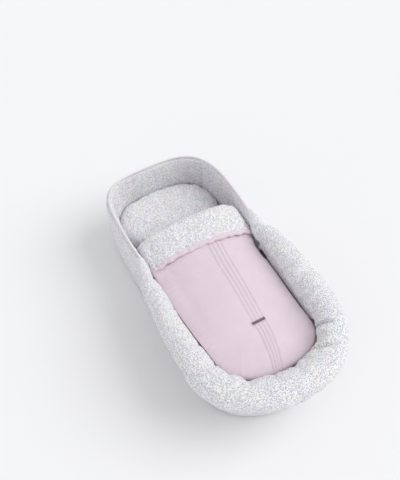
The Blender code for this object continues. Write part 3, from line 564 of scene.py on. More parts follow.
def cloth(key):
    """The shared materials, made once."""
    if not CLOTH:
        look = bpy.context.scene.footmuff_look
        pink = (*look.pink, 1.0)
        CLOTH.update(
            pink=plain_cotton("pink_cotton", pink, darker(pink, 0.93)),
            floral=floral_cotton("floral_cotton", (*look.ground, 1.0)),
            piping=plain_cotton("piping_cotton", linear(236, 231, 233), linear(224, 218, 221)),
            tape=tape_cloth("zip_tape", linear(206, 190, 198)),
            teeth=hard("zip_teeth", linear(86, 72, 84), 0.42, 0.0, 0.08),
            metal=hard("zip_metal", linear(74, 64, 72), 0.40, 0.60, 0.07),
            leather=leather("tag_leather", (*look.tag, 1.0)),
        )
    return CLOTH[key]


# Settings

def colour_setting(name, description, *colour):
    return bpy.props.FloatVectorProperty(
        name=name, description=description, subtype="COLOR", size=3, min=0, max=1,
        default=linear(*colour)[:3])


def length_setting(name, description, default, least, most):
    return bpy.props.FloatProperty(
        name=name, description=description, default=default, min=least, max=most, unit="LENGTH")


class FootmuffLook(bpy.types.PropertyGroup):
    """Colours of the cloth"""
    pink: colour_setting("Cover colour", "Colour of the plain cotton", 230, 213, 221)
    ground: colour_setting("Print ground", "Ground colour of the printed cotton", 247, 246, 248)
    tag: colour_setting("Tag colour", "Colour of the small blank tag", 122, 104, 110)


class FootmuffForms(bpy.types.PropertyGroup):
    """Sizes of the soft forms"""
    roll_crease: length_setting(
        "Roll creases", "Depth of the deepest creases in the roll", 0.025, 0.0, 0.025)
    tuck_height: length_setting(
        "Tuck height", "Height of the pin tucks", 0.0013, 0.0, 0.003)
    gather_depth: length_setting(
        "Gathers", "Depth of the skirt's gathers at its hem", 0.0022, 0.0, 0.005)
    cuff_fullness: length_setting(
        "Cuff fullness", "Thickness of the turned-down cuff at its fold", 0.016, 0.006, 0.022)


# Roll

ROLL_INSIDE = 0.0305
ROLL_HEAD = 0.0715
ROLL_SIDE = 0.0805
ROLL_FOOT = 0.0915
ROLL_GROWTH = 0.200
ROLL_FULL_Y = 0.0165
ROLL_LOW = 0.150
ROLL_HIGH = 0.212
ROLL_END_Y = 0.0738
ROLL_END_GAP = 0.007
ROLL_FLAT = math.radians(55)
ROLL_TAPER_LENGTH = 0.050
ROLL_TAPER = 0.84
ROLL_LOWER_ENDS = 0.17
LOWER_LENGTH = 0.11
ROLL_CAP = 0.010
CAP_SHARES = (0.0, 0.02, 0.09, 0.22, 0.42, 0.68)
ROLL_STEP = 0.004
# The roll's slim ends that run up along the walls
HORN_Y = 0.1480
HORN_FROM_Y = 0.0400
HORN_HALF = 0.0105
HORN_TOP = 0.1905
# Towards the head the roll is slimmer, and its left side narrower and lower
HEAD_SLIMMER = 0.008
SLIMMER_FROM_Y = -0.10
SLIMMER_RUN = 0.16
LEFT_NARROWER = 0.013
LEFT_LOWER = 0.0015
LEFT_FROM_Y = -0.25
LEFT_RUN = 0.14
INNER_REACH = 0.0035
RIGHT_END_Y = 0.080
RIGHT_END_REACH = 0.055
RIGHT_END_NEARER = 0.006
# Angle round the foot, spread and depth: where the inner face stands back, and where the outer one does
FOOT_HOLLOWS = ((126.0, 0.042, 0.0090), (50.0, 0.054, 0.0080))
CORNER_TRIM = (24.0, 0.120, 0.0070)
# Angle round the foot, slant, depth as a share of the deepest, width
CREASES = (
    (25.0, 0.001, 1.00, 0.0120), (56.0, -0.024, 1.00, 0.0120), (70.0, -0.004, 0.26, 0.010),
    (39.0, -0.010, 0.22, 0.020), (83.0, 0.006, 0.18, 0.018), (104.0, 0.004, 0.18, 0.017),
    (129.0, 0.0, 0.14, 0.016), (-14.0, 0.004, 0.20, 0.013), (149.0, -0.006, 0.18, 0.018),
    (171.0, 0.0, 0.14, 0.014), (-47.0, 0.003, 0.16, 0.012), (197.0, 0.004, 0.18, 0.014),
    (221.0, -0.003, 0.14, 0.014))
# Where round the roll's section the creases are deepest, and how far round they reach, in radians
CREASE_TURN = 2.8
CREASE_REACH = 1.6
# Angles round the foot with closer rows, for the two deepest creases
FINE_ROWS_AT = (26.0, 56.0)
FINE_REACH = 0.026
FINE_CLEAR = 0.027
FINE_STEP = 0.0014


def roll_form(length):
    """Middle's offset, middle's height, half width and half height of the roll at a length."""
    y = RIM.at(length)[0][1]
    grown = eased((ROLL_FULL_Y - y) / ROLL_GROWTH)
    width = ROLL_HEAD + (ROLL_SIDE - ROLL_HEAD) * grown
    width += (ROLL_FOOT - ROLL_SIDE) * eased((FOOT_Y - y) / FOOT_DEPTH)
    to_end = ROLL_END_Y - ROLL_END_GAP - y
    share = ROLL_TAPER + (1 - ROLL_TAPER) * puffed(to_end, ROLL_TAPER_LENGTH)
    high = (ROLL_HIGH - ROLL_LOW) / (1 + math.sin(ROLL_FLAT))
    slimmer = HEAD_SLIMMER * eased((y - SLIMMER_FROM_Y) / SLIMMER_RUN)
    reach = INNER_REACH * grown
    for angle, spread, hollow in FOOT_HOLLOWS:
        reach -= hollow * bump(length - RIM.length_at_angle(angle), spread)
    angle, spread, trim = CORNER_TRIM
    slimmer += trim * bump(length - RIM.length_at_angle(angle), spread)
    middle = width / 2 - ROLL_INSIDE - slimmer / 2 - reach / 2
    half = width / 2 - slimmer / 2 + reach / 2
    if length < 0:
        drawn = eased((y - LEFT_FROM_Y) / LEFT_RUN)
        middle += LEFT_NARROWER * drawn / 2
        half -= LEFT_NARROWER * drawn / 2
        high -= LEFT_LOWER * drawn
    high *= share * (1 - ROLL_LOWER_ENDS * eased(1 - to_end / LOWER_LENGTH))
    height = ROLL_LOW + high * math.sin(ROLL_FLAT)
    if length > 0:
        nearer = RIGHT_END_NEARER * bump(y - RIGHT_END_Y, RIGHT_END_REACH)
        middle -= half * (1 - share) + nearer / 2
        half += nearer / 2
    half *= share
    horn = eased((y - HORN_FROM_Y) / (HORN_Y - HORN_FROM_Y))
    middle += (-WALL_THICK / 2 - middle) * horn
    half += (HORN_HALF - half) * horn
    top = height + high + (HORN_TOP - height - high) * horn
    low = height - high
    if y >= NOTCH_Y:
        low = max(low, wall_top(y) - 0.030 + 0.015 * horn)
    return middle, (top + low) / 2, half, (top - low) / 2


def roll_face(length, z, side=-1):
    """Offset of the roll's inner or outer face at a height, without its creases."""
    middle, height, half, high = roll_form(length)
    lean = min(max((z - height) / high, -1.0), 1.0)
    power = 0.3 if lean < 0 else 0.5
    return middle + side * half * (1 - lean * lean) ** power


def pinch(distance, width):
    """One at the bottom of a crease, rising sharply and then softly to nothing."""
    return max(1 - abs(distance) / width, 0.0) ** 1.7


def roll_dent(turn, length, crease):
    """Depth of the creases, of the puckers along the inner face and of the fine wrinkles."""
    dent = 0.0
    upper = bump(turn - CREASE_TURN, CREASE_REACH)
    for angle, slant, depth, width in CREASES:
        wander = 0.003 * lumps((turn * 0.4, angle, 0.0), 0.5, 2.0)
        away = length - (RIM.length_at_angle(angle) + slant * (turn - 2.6) + wander)
        dent += crease * depth * upper * (pinch(away, width) - 0.12 * bump(abs(away) - width, width))
    inner = bump(turn - 3.6, 0.9)
    dent += 0.0009 * inner * (1 + ripple(length, 0.019, 2.5, (length, 0, 0), 0.05, 2.0)) / 2
    wrinkle = lumps((length, 0.03 * turn, 0.5), 0.034, 6.0)
    return dent + 0.0024 * bump(wrinkle, 0.16) * bump(turn - 2.2, 2.2)


def roll_point(turn, length, crease):
    left = RIM.length_at(HORN_Y) - abs(length)
    closing = (1 - (1 - min(left / ROLL_CAP, 1.0)) ** 3) ** (1 / 3) if left > 0 else 0.0
    middle, z, half, high = roll_form(length)
    c, s = math.cos(turn), math.sin(turn)
    swell = 1 + 0.045 * lumps((length, 0.0, 0.0), 0.075, 4.0)
    swell += 0.028 * lumps((length, 0.02 * c, 0.02 * s), 0.028, 9.0)
    dent = roll_dent(turn, length, crease)
    if s < 0:
        c = math.copysign(abs(c) ** 0.6, c)
    out = middle + max(half * swell - dent, 0.0) * closing * c
    up = z + max(high * swell - dent, 0.0) * closing * s
    return offset(length, out, max(up, ROLL_LOW + 0.0003))


def build_roll():
    forms = bpy.context.scene.footmuff_forms
    end = RIM.length_at(HORN_Y)
    caps = [ROLL_CAP * share for share in CAP_SHARES]
    rows = [-end + c for c in caps] + [end - c for c in caps]
    rows += stations(-end + ROLL_CAP, end - ROLL_CAP, ROLL_STEP)
    for angle in FINE_ROWS_AT:
        at = RIM.length_at_angle(angle)
        rows = [r for r in rows if abs(r - at) > FINE_CLEAR]
        rows += stations(at - FINE_REACH, at + FINE_REACH, FINE_STEP)
    rows.sort()
    columns = spaced(0, 2 * math.pi, 41)
    bm = merged(surface(columns, rows, lambda c, r: roll_point(c, r, forms.roll_crease), scale=(0.033, 1.0)))
    roll = finished("roll", bm, [cloth("floral")], angle=70)
    plump(roll, cap=0.004, pressure=3.0, pinned=lambda co: co[2] < ROLL_LOW + 0.001, shrink=-0.04)
    subdivide(roll)

    def crumple(p, n):
        if p.z < ROLL_LOW + 0.002:
            return Vector((0, 0, 0))
        return n * (0.0009 * lumps(p, 0.022, 3.0) + 0.0005 * lumps(p, 0.009, 8.0))

    sculpt(roll, crumple)
    dress(roll, "liner", ("roll_case", "roll_filling", "roll_end_right", "roll_end_left"))


# Walls, piping and base

WALL_THICK = 0.015
WALL_LOW = 0.004
WALL_FOOT_TOP = 0.1497
WALL_GIRTH = 0.38
HEAD_TOP = 0.184
NOTCH_Y = 0.0795
NOTCH_RAMP = 0.020
# A seam beside each head corner draws the padding in
HEAD_SEAM_Y = 0.3795
HEAD_SEAM_REACH = 0.0085
HEAD_SEAM_DEPTH = 0.0080
# The rim leans out most beside the left head corner
LEAN = 0.0030
LEAN_FROM_Y = 0.12
CORNER_LEAN = 0.0085
CORNER_FROM_HEAD = 0.165
PIPING_RADIUS = 0.0026
RIM_STEP = 0.006


def wall_top(y):
    return WALL_FOOT_TOP + (HEAD_TOP - WALL_FOOT_TOP) * eased((y - NOTCH_Y) / NOTCH_RAMP)


def rim_lean(length):
    """How far the wall's top leans outward."""
    corner = RIM.half - CORNER_FROM_HEAD
    headward = eased((abs(length) - RIM.length_at(LEAN_FROM_Y)) / 0.1)
    return LEAN * headward + CORNER_LEAN * bump(length + corner, 0.13)


def wall_section(top):
    """Offsets and heights once round the wall, with a mark: 1 inside, -1 outside, 0 over the top."""
    r = WALL_THICK / 2
    heights = spaced(WALL_LOW + r, top - r, 16)
    over, under = (np.linspace(0, math.pi, count)[1:-1] for count in (8, 6))
    section = [(0.0, z, -1) for z in heights]
    section += [(-r + r * math.cos(a), top - r + r * math.sin(a), 0) for a in over]
    section += [(-WALL_THICK, z, 1) for z in reversed(heights)]
    section += [(-r - r * math.cos(a), WALL_LOW + r - r * math.sin(a), 0) for a in under]
    return section + [section[0]]


def wall_point(step, length):
    x, y = RIM.at(length)[0]
    top = wall_top(y)
    out, z, face = wall_section(top)[int(step)]
    near_seam = bump(abs(length) - RIM.head_length(HEAD_SEAM_Y), HEAD_SEAM_REACH)
    share = (z - WALL_LOW) / (top - WALL_LOW)
    out += rim_lean(length) * eased((share - 0.25) / 0.75)
    if not face:
        return offset(length, out, z - 0.0012 * near_seam)
    belly = math.sin(math.pi * clamped(share))
    headward = eased((y - NOTCH_Y) / 0.1)
    fold = 0.0022 * lumps((x, y, z * 0.35), 0.045, 5.0) + 0.0011 * lumps((x, y, z), 0.02, 7.0)
    swell = belly * (0.0045 * headward + fold * (0.35 + 0.65 * headward))
    if face > 0:
        swell += 0.004 * bump(y - 0.14, 0.10) * eased((z - 0.10) / 0.05) * (1 - share ** 6)
        puckers = ripple(abs(length), 0.024, 3, (x, y, 0), 0.06, 1.0)
        swell += headward * 0.0018 * bump(share - 0.93, 0.06) * puckers
    out += -face * (swell - near_seam * HEAD_SEAM_DEPTH * (0.3 + 0.7 * belly))
    return offset(length, out, z)


def cord_point(turn, length):
    """A point on the piping, whose length runs on past the head's middle to the left."""
    s = length if length <= RIM.half else length - 2 * RIM.half
    r = PIPING_RADIUS * (1 + 0.05 * math.sin(length * 900))
    z = wall_top(RIM.at(s)[0][1]) + PIPING_RADIUS + 0.0002
    return offset(s, rim_lean(s) - WALL_THICK / 2 + r * math.cos(turn), z + r * math.sin(turn))


def build_walls():
    rows = stations(-RIM.half, RIM.half, RIM_STEP)
    columns = list(range(len(wall_section(HEAD_TOP))))
    scale = (WALL_PRINT_SCALE * WALL_GIRTH / len(columns), WALL_PRINT_SCALE)
    bm = merged(surface(columns, rows, wall_point, scale=scale))
    walls = finished("liner_walls", bm, [cloth("floral")], angle=70)
    plump(walls, cap=0.0022, pressure=1.5, shrink=-0.02,
          pinned=lambda co: co[2] < 0.03 or co[1] < NOTCH_Y + 0.01)
    subdivide(walls)
    dress(walls, "liner", ("wall_head", "wall_right", "wall_left", "wall_foot"))


def build_piping():
    start = RIM.length_at(HORN_Y - 0.006)
    path = stations(start, 2 * RIM.half - start, RIM_STEP)
    turns = spaced(0, 2 * math.pi, 11)
    bm = merged(surface(turns, path, cord_point, scale=(PIPING_RADIUS, 1.0)))
    bmesh.ops.holes_fill(bm, edges=[e for e in bm.edges if e.is_boundary])
    bmesh.ops.recalc_face_normals(bm, faces=bm.faces[:])
    piping = finished("rim_cord", bm, [cloth("piping")])
    dress(piping, "liner", ("rim_piping",))


BASE_HALF = 0.1664
BASE_TOP = 0.028
BASE_EDGE = 0.010


def build_base():
    inset = RIM_HALF - BASE_HALF

    def ends(x):
        share = min(abs(x) / BASE_HALF, 1.0)
        low = FOOT_Y - (FOOT_DEPTH - inset) * math.sqrt(1 - share ** 2)
        high = HEAD_Y + (HEAD_DEPTH - inset) * (1 - share ** HEAD_POWER) ** (1 / HEAD_POWER)
        return low, high

    def place(x, share):
        low, high = ends(x)
        return x, low + (high - low) * share

    def inside(x, y):
        """Distance to the mat's edge."""
        along = max((FOOT_Y - y) / (FOOT_DEPTH - inset), (y - HEAD_Y) / (HEAD_DEPTH - inset), 0.0)
        power = 2.0 if y < 0 else HEAD_POWER
        return (1 - min(((abs(x) / BASE_HALF) ** power + along ** power) ** (1 / power), 1.0)) * BASE_HALF

    rows = [0.5 - 0.5 * math.cos(math.pi * t) for t in np.linspace(0, 1, 60)]
    bm = pad(sine_spread(BASE_HALF, 30), rows, place,
             lambda x, y: BASE_EDGE + (BASE_TOP - BASE_EDGE) * puffed(inside(x, y), 0.016),
             lambda x, y: BASE_EDGE * (1 - puffed(inside(x, y), 0.009)))
    base = finished("base_mat", bm, [cloth("floral")], angle=60)
    dress(base, "liner", ("base_pad",))


# Skirt

SKIRT_OUT = 0.0238
SKIRT_TOP = 0.1497
SKIRT_LOW = 0.0880
SKIRT_THICK = 0.0012
SKIRT_FLARE = 0.018
SKIRT_SHARES = (0.0, 0.06, 0.14, 0.26, 0.40, 0.54, 0.68, 0.80, 0.89, 0.93, 0.965, 1.0)
CASING_SHARE = 0.89


def build_skirt():
    gather = bpy.context.scene.footmuff_forms.gather_depth
    end = RIM.length_at(ROLL_END_Y - 0.0075)

    def point(share, length):
        fall = share ** 1.3
        spot = (length, 0.0, 0.0)
        wave = ripple(length, 0.0135, 2.6, spot, 0.05, 11.0)
        wave += 0.5 * ripple(length, 0.0078, 2.0, spot, 0.03, 13.0)
        pulled = 0.0040 * eased((share - 0.6) / 0.4)
        stitched = -0.0009 * bump(share - CASING_SHARE, 0.05)
        under = min(roll_face(length, ROLL_LOW + 0.004, 1) - 0.002, SKIRT_OUT + SKIRT_FLARE)
        gathers = gather * fall * wave / 1.5 * (1 - 0.35 * bump(share - CASING_SHARE, 0.06))
        out = under + (SKIRT_OUT - under) * eased(share / 0.55) - pulled + stitched + gathers
        z = SKIRT_TOP + (SKIRT_LOW - SKIRT_TOP) * share + 0.0008 * wave * fall
        z += 0.0025 * (1 - min(share / 0.06, 1.0))
        return offset(length, out, z)

    rows = stations(-end, end, 0.0026)
    bm = surface(SKIRT_SHARES, rows, point, scale=(SKIRT_TOP - SKIRT_LOW, 1.35))
    bmesh.ops.recalc_face_normals(bm, faces=bm.faces[:])
    bmesh.ops.solidify(bm, geom=bm.faces[:], thickness=SKIRT_THICK)
    skirt = finished("skirt_cloth", bm, [cloth("pink")], angle=80)
    dress(skirt, "liner", ("skirt", "skirt_elastic"))


# Cover

COVER_HALF = 0.1405
COVER_HEAD_Y = 0.1965
COVER_THICK = 0.014
CROWN_AT_FOLD = 0.014
CROWN_AT_HEAD = 0.034
CROWN_RISE = 0.190
EDGE_ROUND = 0.014
COVER_FOOT_DEPTH = 0.1035
RIGHT_CORNER_POWER = 2.75
LEFT_CORNER_POWER = 2.1
# How far the quilt's sides stand out over the zips, further on the left, where the roll leaves room
SWELL_YS = (-0.335, -0.300, -0.270, -0.235, -0.190, -0.140, -0.050, -0.016, 0.000, 0.044, 0.062, 0.090)
LEFT_SWELLS = (0.0, 0.0005, 0.0030, 0.0090, 0.0140, 0.0205, 0.0265, 0.0275, 0.0275, 0.0280, 0.0290, 0.0295)
RIGHT_SWELLS = (0.0, 0.0045, 0.0115, 0.0150, 0.0114, 0.0100, 0.0100, 0.0095, 0.0055, 0.0055, 0.0125, 0.0140)
# Soft folds: from one place to another, with a height and a width
COVER_FOLDS = (
    (-0.135, 0.085, -0.02, 0.03, 0.0016, 0.010), (-0.137, 0.055, -0.045, -0.005, 0.0013, 0.009),
    (-0.125, 0.100, -0.09, 0.045, 0.0018, 0.008), (0.115, 0.085, 0.075, 0.03, 0.0012, 0.008),
    (0.130, -0.262, 0.085, -0.235, 0.0012, 0.008), (0.09, -0.305, 0.07, -0.255, 0.0010, 0.007),
    (-0.100, -0.300, -0.070, -0.240, 0.0011, 0.008), (0.04, 0.088, 0.06, 0.055, 0.0010, 0.006))


def crown(y):
    return CROWN_AT_FOLD + (CROWN_AT_HEAD - CROWN_AT_FOLD) * eased((y - FOOT_Y) / CROWN_RISE)


def corner_power(x):
    return RIGHT_CORNER_POWER if x > 0 else LEFT_CORNER_POWER


def cover_reach(x, y):
    """0 along the cover's middle and 1 on its sewn edge."""
    along = max(FOOT_Y - y, 0.0) / COVER_FOOT_DEPTH
    power = corner_power(x)
    return min(((abs(x) / COVER_HALF) ** power + along ** power) ** (1 / power), 1.0)


def cover_edge(x, y):
    """Distance to the cover's sewn edge."""
    return (1 - cover_reach(x, y)) * COVER_HALF


def cover_foot(x):
    power = corner_power(x)
    return FOOT_Y - COVER_FOOT_DEPTH * max(1 - (abs(x) / COVER_HALF) ** power, 0.0) ** (1 / power)


def cover_middle(x, y):
    return SEAM_Z + crown(y) * (1 - cover_reach(x, y) ** 2.2)


def cover_half(x, y):
    side = puffed(cover_edge(x, y), EDGE_ROUND)
    head = puffed(COVER_HEAD_Y - y, EDGE_ROUND)
    return 0.0004 + COVER_THICK / 2 * min(side, head)


def swell_sides(bm):
    """Pushes the upper face outward a little above its sewn edge."""
    for v in bm.verts:
        x, y, z = v.co
        rise = z - SEAM_Z
        near = 1 - eased(cover_edge(x, y) / 0.030)
        level = eased((rise - 0.003) / 0.0055) * (1 - eased((rise - 0.012) / 0.010))
        swells = LEFT_SWELLS if x < 0 else RIGHT_SWELLS
        out = float(np.interp(y, SWELL_YS, swells)) * near * level
        across, along = abs(x) / COVER_HALF, max(FOOT_Y - y, 0.0) / COVER_FOOT_DEPTH
        size = math.hypot(across, along) or 1.0
        v.co.x += math.copysign(out * across / size, x)
        v.co.y -= out * along / size


def along_fold(x, y, fold):
    """How near a point is to a soft fold from one place to another."""
    x0, y0, x1, y1, height, width = fold
    dx, dy = x1 - x0, y1 - y0
    size = dx * dx + dy * dy
    t = clamped(((x - x0) * dx + (y - y0) * dy) / size)
    away = math.hypot(x - x0 - t * dx, y - y0 - t * dy)
    return height * bump(away, width) * (1 - 0.8 * t)


def cover_relief(x, y):
    """Folds and edge puckers that stand up from the quilt."""
    edge = cover_edge(x, y)
    run = y if y > FOOT_Y else FOOT_Y - math.atan2(FOOT_Y - y, abs(x)) * 0.12
    pucker = ripple(run, 0.019, 3.0, (run, x, 0.0), 0.06, 1.5 if x > 0 else 8.5)
    relief = 0.0007 * pucker * bump(edge - 0.006, 0.016)
    relief += sum(along_fold(x, y, fold) for fold in COVER_FOLDS)
    relief += 0.0012 * lumps((x, y, 0.0), 0.07, 2.0) * min(edge / 0.03, 1.0)
    return relief


# Pin tucks: where their middle lies and how far apart they are along the cover
TUCKS = 4
TUCK_YS = (-0.335, -0.285, -0.222, -0.117, 0.015, 0.080, 0.1965)
TUCK_MIDDLES = (-0.012, 0.004, 0.0155, 0.0190, 0.0240, 0.0300, 0.0390)
TUCK_PITCHES = (0.0080, 0.0092, 0.0103, 0.0110, 0.0124, 0.0125, 0.0125)
TUCK_PITCH = 0.0115
TUCK_FROM = -0.0022
TUCK_CREST = 0.0006
TUCK_TO = 0.0020
TUCK_COLUMNS = (-0.0026, -0.0014, -0.0004, 0.0004, 0.0009, 0.0013, 0.0021)
COLUMN_CLEAR = 0.0022


def tucks_at(y):
    """Place of the tucks' middle, and their pitch."""
    return (float(np.interp(y, TUCK_YS, values)) for values in (TUCK_MIDDLES, TUCK_PITCHES))


def tuck_relief(x, y, height):
    """Pin tucks: a gentle rise, a steep fall and a stitched groove beside it."""
    fade = max(min(1.0, cover_edge(x, y) / 0.012, (COVER_HEAD_Y - y) / 0.02), 0.0)
    middle, pitch = tucks_at(y)
    for number in range(TUCKS):
        d = x - (middle + (number - (TUCKS - 1) / 2) * pitch)
        if TUCK_FROM < d <= TUCK_CREST:
            return fade * height * eased((d + 0.0022) / 0.0026)
        if TUCK_CREST < d < TUCK_TO:
            return -fade * height * 0.5 * bump(d - 0.0012, 0.0009)
    return 0.0


def cover_columns():
    """Places across the cover, close together at the tucks."""
    middles = [(k - (TUCKS - 1) / 2) * TUCK_PITCH for k in range(TUCKS)]
    tucks = [middle + d for middle in middles for d in TUCK_COLUMNS]
    plain = [x for x in sine_spread(COVER_HALF, 50) if min(abs(x - t) for t in tucks) > COLUMN_CLEAR]
    return sorted(plain + tucks)


def follow_tucks(x, y):
    """Moves a column's place sideways, so that the close columns lie along the tucks."""
    middle, pitch = tucks_at(y)
    step = min(max(x / TUCK_PITCH, -TUCKS / 2), TUCKS / 2)
    fade = 1 - eased((abs(x) - 0.024) / (COVER_HALF - 0.028))
    return x + (middle + step * (pitch - TUCK_PITCH)) * fade


def build_cover():
    tuck_height = bpy.context.scene.footmuff_forms.tuck_height

    def place(x, share):
        low = cover_foot(x)
        y = low + (COVER_HEAD_Y - low) * share
        return follow_tucks(x, y), y

    rows = spaced(0, 1, 90)
    bm = pad(cover_columns(), rows, place,
             lambda x, y: cover_middle(x, y) + cover_half(x, y),
             lambda x, y: cover_middle(x, y) - cover_half(x, y), materials=(0, 1))
    swell_sides(bm)
    cover = finished("cover", bm, [cloth("pink"), cloth("floral")], angle=75)
    plump(cover, cap=0.0016, pressure=2.0, shrink=-0.01,
          pinned=lambda co: cover_reach(co[0], co[1]) > 0.985)
    subdivide(cover)

    def relief(p, n):
        if n.z > 0.1:
            return Vector((0, 0, cover_relief(p.x, p.y) + tuck_relief(p.x, p.y, tuck_height)))
        return Vector((0, 0, 0))

    sculpt(cover, relief)
    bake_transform(cover)
    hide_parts("foot_panel_shell", "foot_panel_wadding", "foot_panel_lining",
                "cover_shell", "cover_wadding", "cover_lining")


TAG_AT = (0.015, -0.1855)
TAG_SIZE = (0.038, 0.0075, 0.0012)


def build_tag():
    height = height_over(bpy.data.objects["cover"])
    width, length, thick = TAG_SIZE
    x0, y0 = TAG_AT

    def point(c, r):
        x, y = x0 + c * width / 2, y0 + r * length / 2
        places = [(x + dx, y + dy) for dx in (-0.003, 0, 0.003) for dy in (-0.002, 0, 0.002)]
        lift = 0.0006 * abs(c) ** 6
        return Vector((x, y, max(height(*spot, 0.17) for spot in places) + 0.0004 + lift))

    bm = surface(spaced(-1, 1, 20), spaced(-1, 1, 7), point, scale=(width / 2, length / 2))
    bm = thickened(bm, -thick)
    tag = finished("tag", bm, [cloth("leather")])
    dress(tag, "cover", ("cover_tag",))


# Cuff

CUFF_HALF = 0.153
# On the left and on the right: how much wider, and how far the fold is drawn in at the corner
CUFF_WIDER = (0.0085, 0.0070)
CUFF_CORNERS = (0.008, 0.022)
CUFF_HEAD_Y = 0.2055
CUFF_LEFT_Y = 0.0945
CUFF_RIGHT_Y = 0.0835
CUFF_THICK = 0.0095
BORDER = 0.014
# Places from the hem to the fold, closer together at both
CUFF_ROWS = (0.0, 0.012, 0.03, 0.055, 0.078, 0.095, 0.11, 0.125, 0.145, *np.linspace(0.17, 0.86, 20),
             0.89, 0.92, 0.945, 0.965, 0.98, 0.992, 1.0)


def build_cuff():
    full = bpy.context.scene.footmuff_forms.cuff_fullness
    height = height_over(bpy.data.objects["cover"])
    left, right = -CUFF_HALF - CUFF_WIDER[0], CUFF_HALF + CUFF_WIDER[1]

    def foot(x):
        """The hem's place, slightly scalloped."""
        scallop = 0.0016 * ripple(x, 0.031, 2.2, (x, 0, 0), 0.05, 3.0)
        slope = CUFF_LEFT_Y + (CUFF_RIGHT_Y - CUFF_LEFT_Y) * (x - left) / (right - left)
        return slope + scallop + 0.0012 * lumps((x, 0, 0), 0.018, 3.0)

    def head(x):
        """The fold's place: drawn in round its two corners."""
        drop = CUFF_CORNERS[0] if x < 0 else CUFF_CORNERS[1]
        share = clamped((abs(x) - CUFF_HALF + 0.040) / 0.043)
        return CUFF_HEAD_Y - drop * (1 - math.sqrt(1 - share ** 2))

    def under(x, y):
        share = min(abs(x) / CUFF_HALF, 1.0)
        flat = SEAM_Z + COVER_THICK / 2 + 0.0015 + crown(y) * (1 - share ** 2.6)
        return max(flat, height(x, y, 0.0) + 0.0006)

    def thickness(x, y):
        low, high = foot(x), head(x)
        fold = puffed(high - y, 0.016)
        hem = 0.42 + 0.58 * puffed(y - low, 0.008)
        side = puffed(min(x - left, right - x), 0.015)
        body = CUFF_THICK + (full - CUFF_THICK) * eased((y - low) / (high - low) * 1.3)
        seam = 1 - 0.26 * bump(y - low - BORDER, 0.0045)
        pucker = ripple(x, 0.0155, 2.6, (x, 0, 0), 0.04, 9.0)
        pucker *= bump(y - low - BORDER * 0.6, BORDER * 1.3)
        wrinkle = 1 + 0.15 * lumps((x, y * 0.45, 0), 0.030, 6.0)
        wrinkle += 0.10 * lumps((x, y, 0), 0.013, 2.0)
        wrinkle += 0.13 * pucker
        return max(body * fold * hem * side * seam * wrinkle, 0.0)

    def place(x, share):
        low = foot(x)
        return x, low + (head(x) - low) * share

    middle = (left + right) / 2
    columns = [middle + x for x in sine_spread((right - left) / 2, 78)]
    bm = pad(columns, CUFF_ROWS, place, lambda x, y: under(x, y) + thickness(x, y), under, materials=(0, 1))
    for face in bm.faces:
        centre = face.calc_center_median()
        if centre.y < foot(centre.x) + BORDER:
            face.material_index = 1
    cuff = finished("cuff", bm, [cloth("floral"), cloth("pink")], angle=75)
    plump(cuff, cap=0.0018, pressure=2.5, shrink=-0.05,
          pinned=lambda co: co[2] < under(co[0], co[1]) + 0.0008)
    subdivide(cuff)
    dress(cuff, "cuff", ("cuff_panel", "cuff_facing", "cuff_border"))


# Zips and gusset

TAPE_LOW_Y = -0.2311
TAPE_HEAD_Y = 0.0415
TAPE_Z = SEAM_Z - 0.0004
TAPE_THICK = 0.0007
# Edges of the tapes, from the middle: from the teeth to the wall, and from the cover to the teeth
LINER_TAPE_X = (0.1493, 0.1664)
COVER_TAPE_X = (0.1409, 0.1447)
STRIP_LOW_Y = -0.2395
STRIP_FROM = (0.1527, 0.1456)
STRIP_THICK = 0.0010
GUSSET_SAG = 0.014
GUSSET_TURN = 0.004


def roll_foot(side, y):
    """Where the zip's strip meets the roll's inner face."""
    z = ROLL_LOW + 0.0085
    return side * (RIM_HALF + roll_face(side * RIM.length_at(y), z) + 0.0038), y, z


def straight(x, z):
    """A straight edge along the zip, as a point for a place along it."""
    return lambda y: (x, y, z)


def strip(name, edges, cloths, body, replaced, width, low_y=TAPE_LOW_Y, thick=TAPE_THICK,
          wrinkle=0.0):
    """A narrow strip of cloth between two edges, each given as a point for a place along it."""
    first, second = edges
    key, slot = cloths

    def point(share, y):
        spot = Vector(first(y)).lerp(Vector(second(y)), share)
        spot.z += wrinkle * lumps((spot.x, y, 0.0), 0.02, 4.0)
        return spot

    rows = stations(low_y, TAPE_HEAD_Y, 0.006)
    bm = thickened(surface(spaced(0, 1, 5), rows, point, scale=(width, 1.0)), thick)
    obj = finished(name, bm, [cloth(key)], angle=60)
    dress(obj, body, (replaced,))


def build_zips():
    tape, print_cloth = ("tape", "zip_tape"), ("floral", "floral_cotton")
    for word, side in (("right", 1), ("left", -1)):
        edges = [straight(side * x, TAPE_Z) for x in LINER_TAPE_X]
        strip("tape_liner_" + word, edges, tape, "liner", "zip_tape_liner_" + word, 0.0172)
        edges = [straight(side * x, TAPE_Z) for x in COVER_TAPE_X]
        strip("tape_cover_" + word, edges, tape, "cover", "zip_tape_cover_" + word, 0.012)
        edges = straight(side * STRIP_FROM[0], STRIP_FROM[1]), lambda y: roll_foot(side, y)
        strip("zip_strip_" + word, edges, print_cloth, "liner", "zip_facing_" + word, 0.0165,
              low_y=STRIP_LOW_Y, thick=STRIP_THICK, wrinkle=0.0004)
    for node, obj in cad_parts.items():
        if "chain" in node:
            paint(obj, cloth("teeth"))
        elif "slider" in node or "pull" in node or "stop" in node:
            paint(obj, cloth("metal"))


def paint(obj, material):
    obj.data.materials.clear()
    obj.data.materials.append(material)


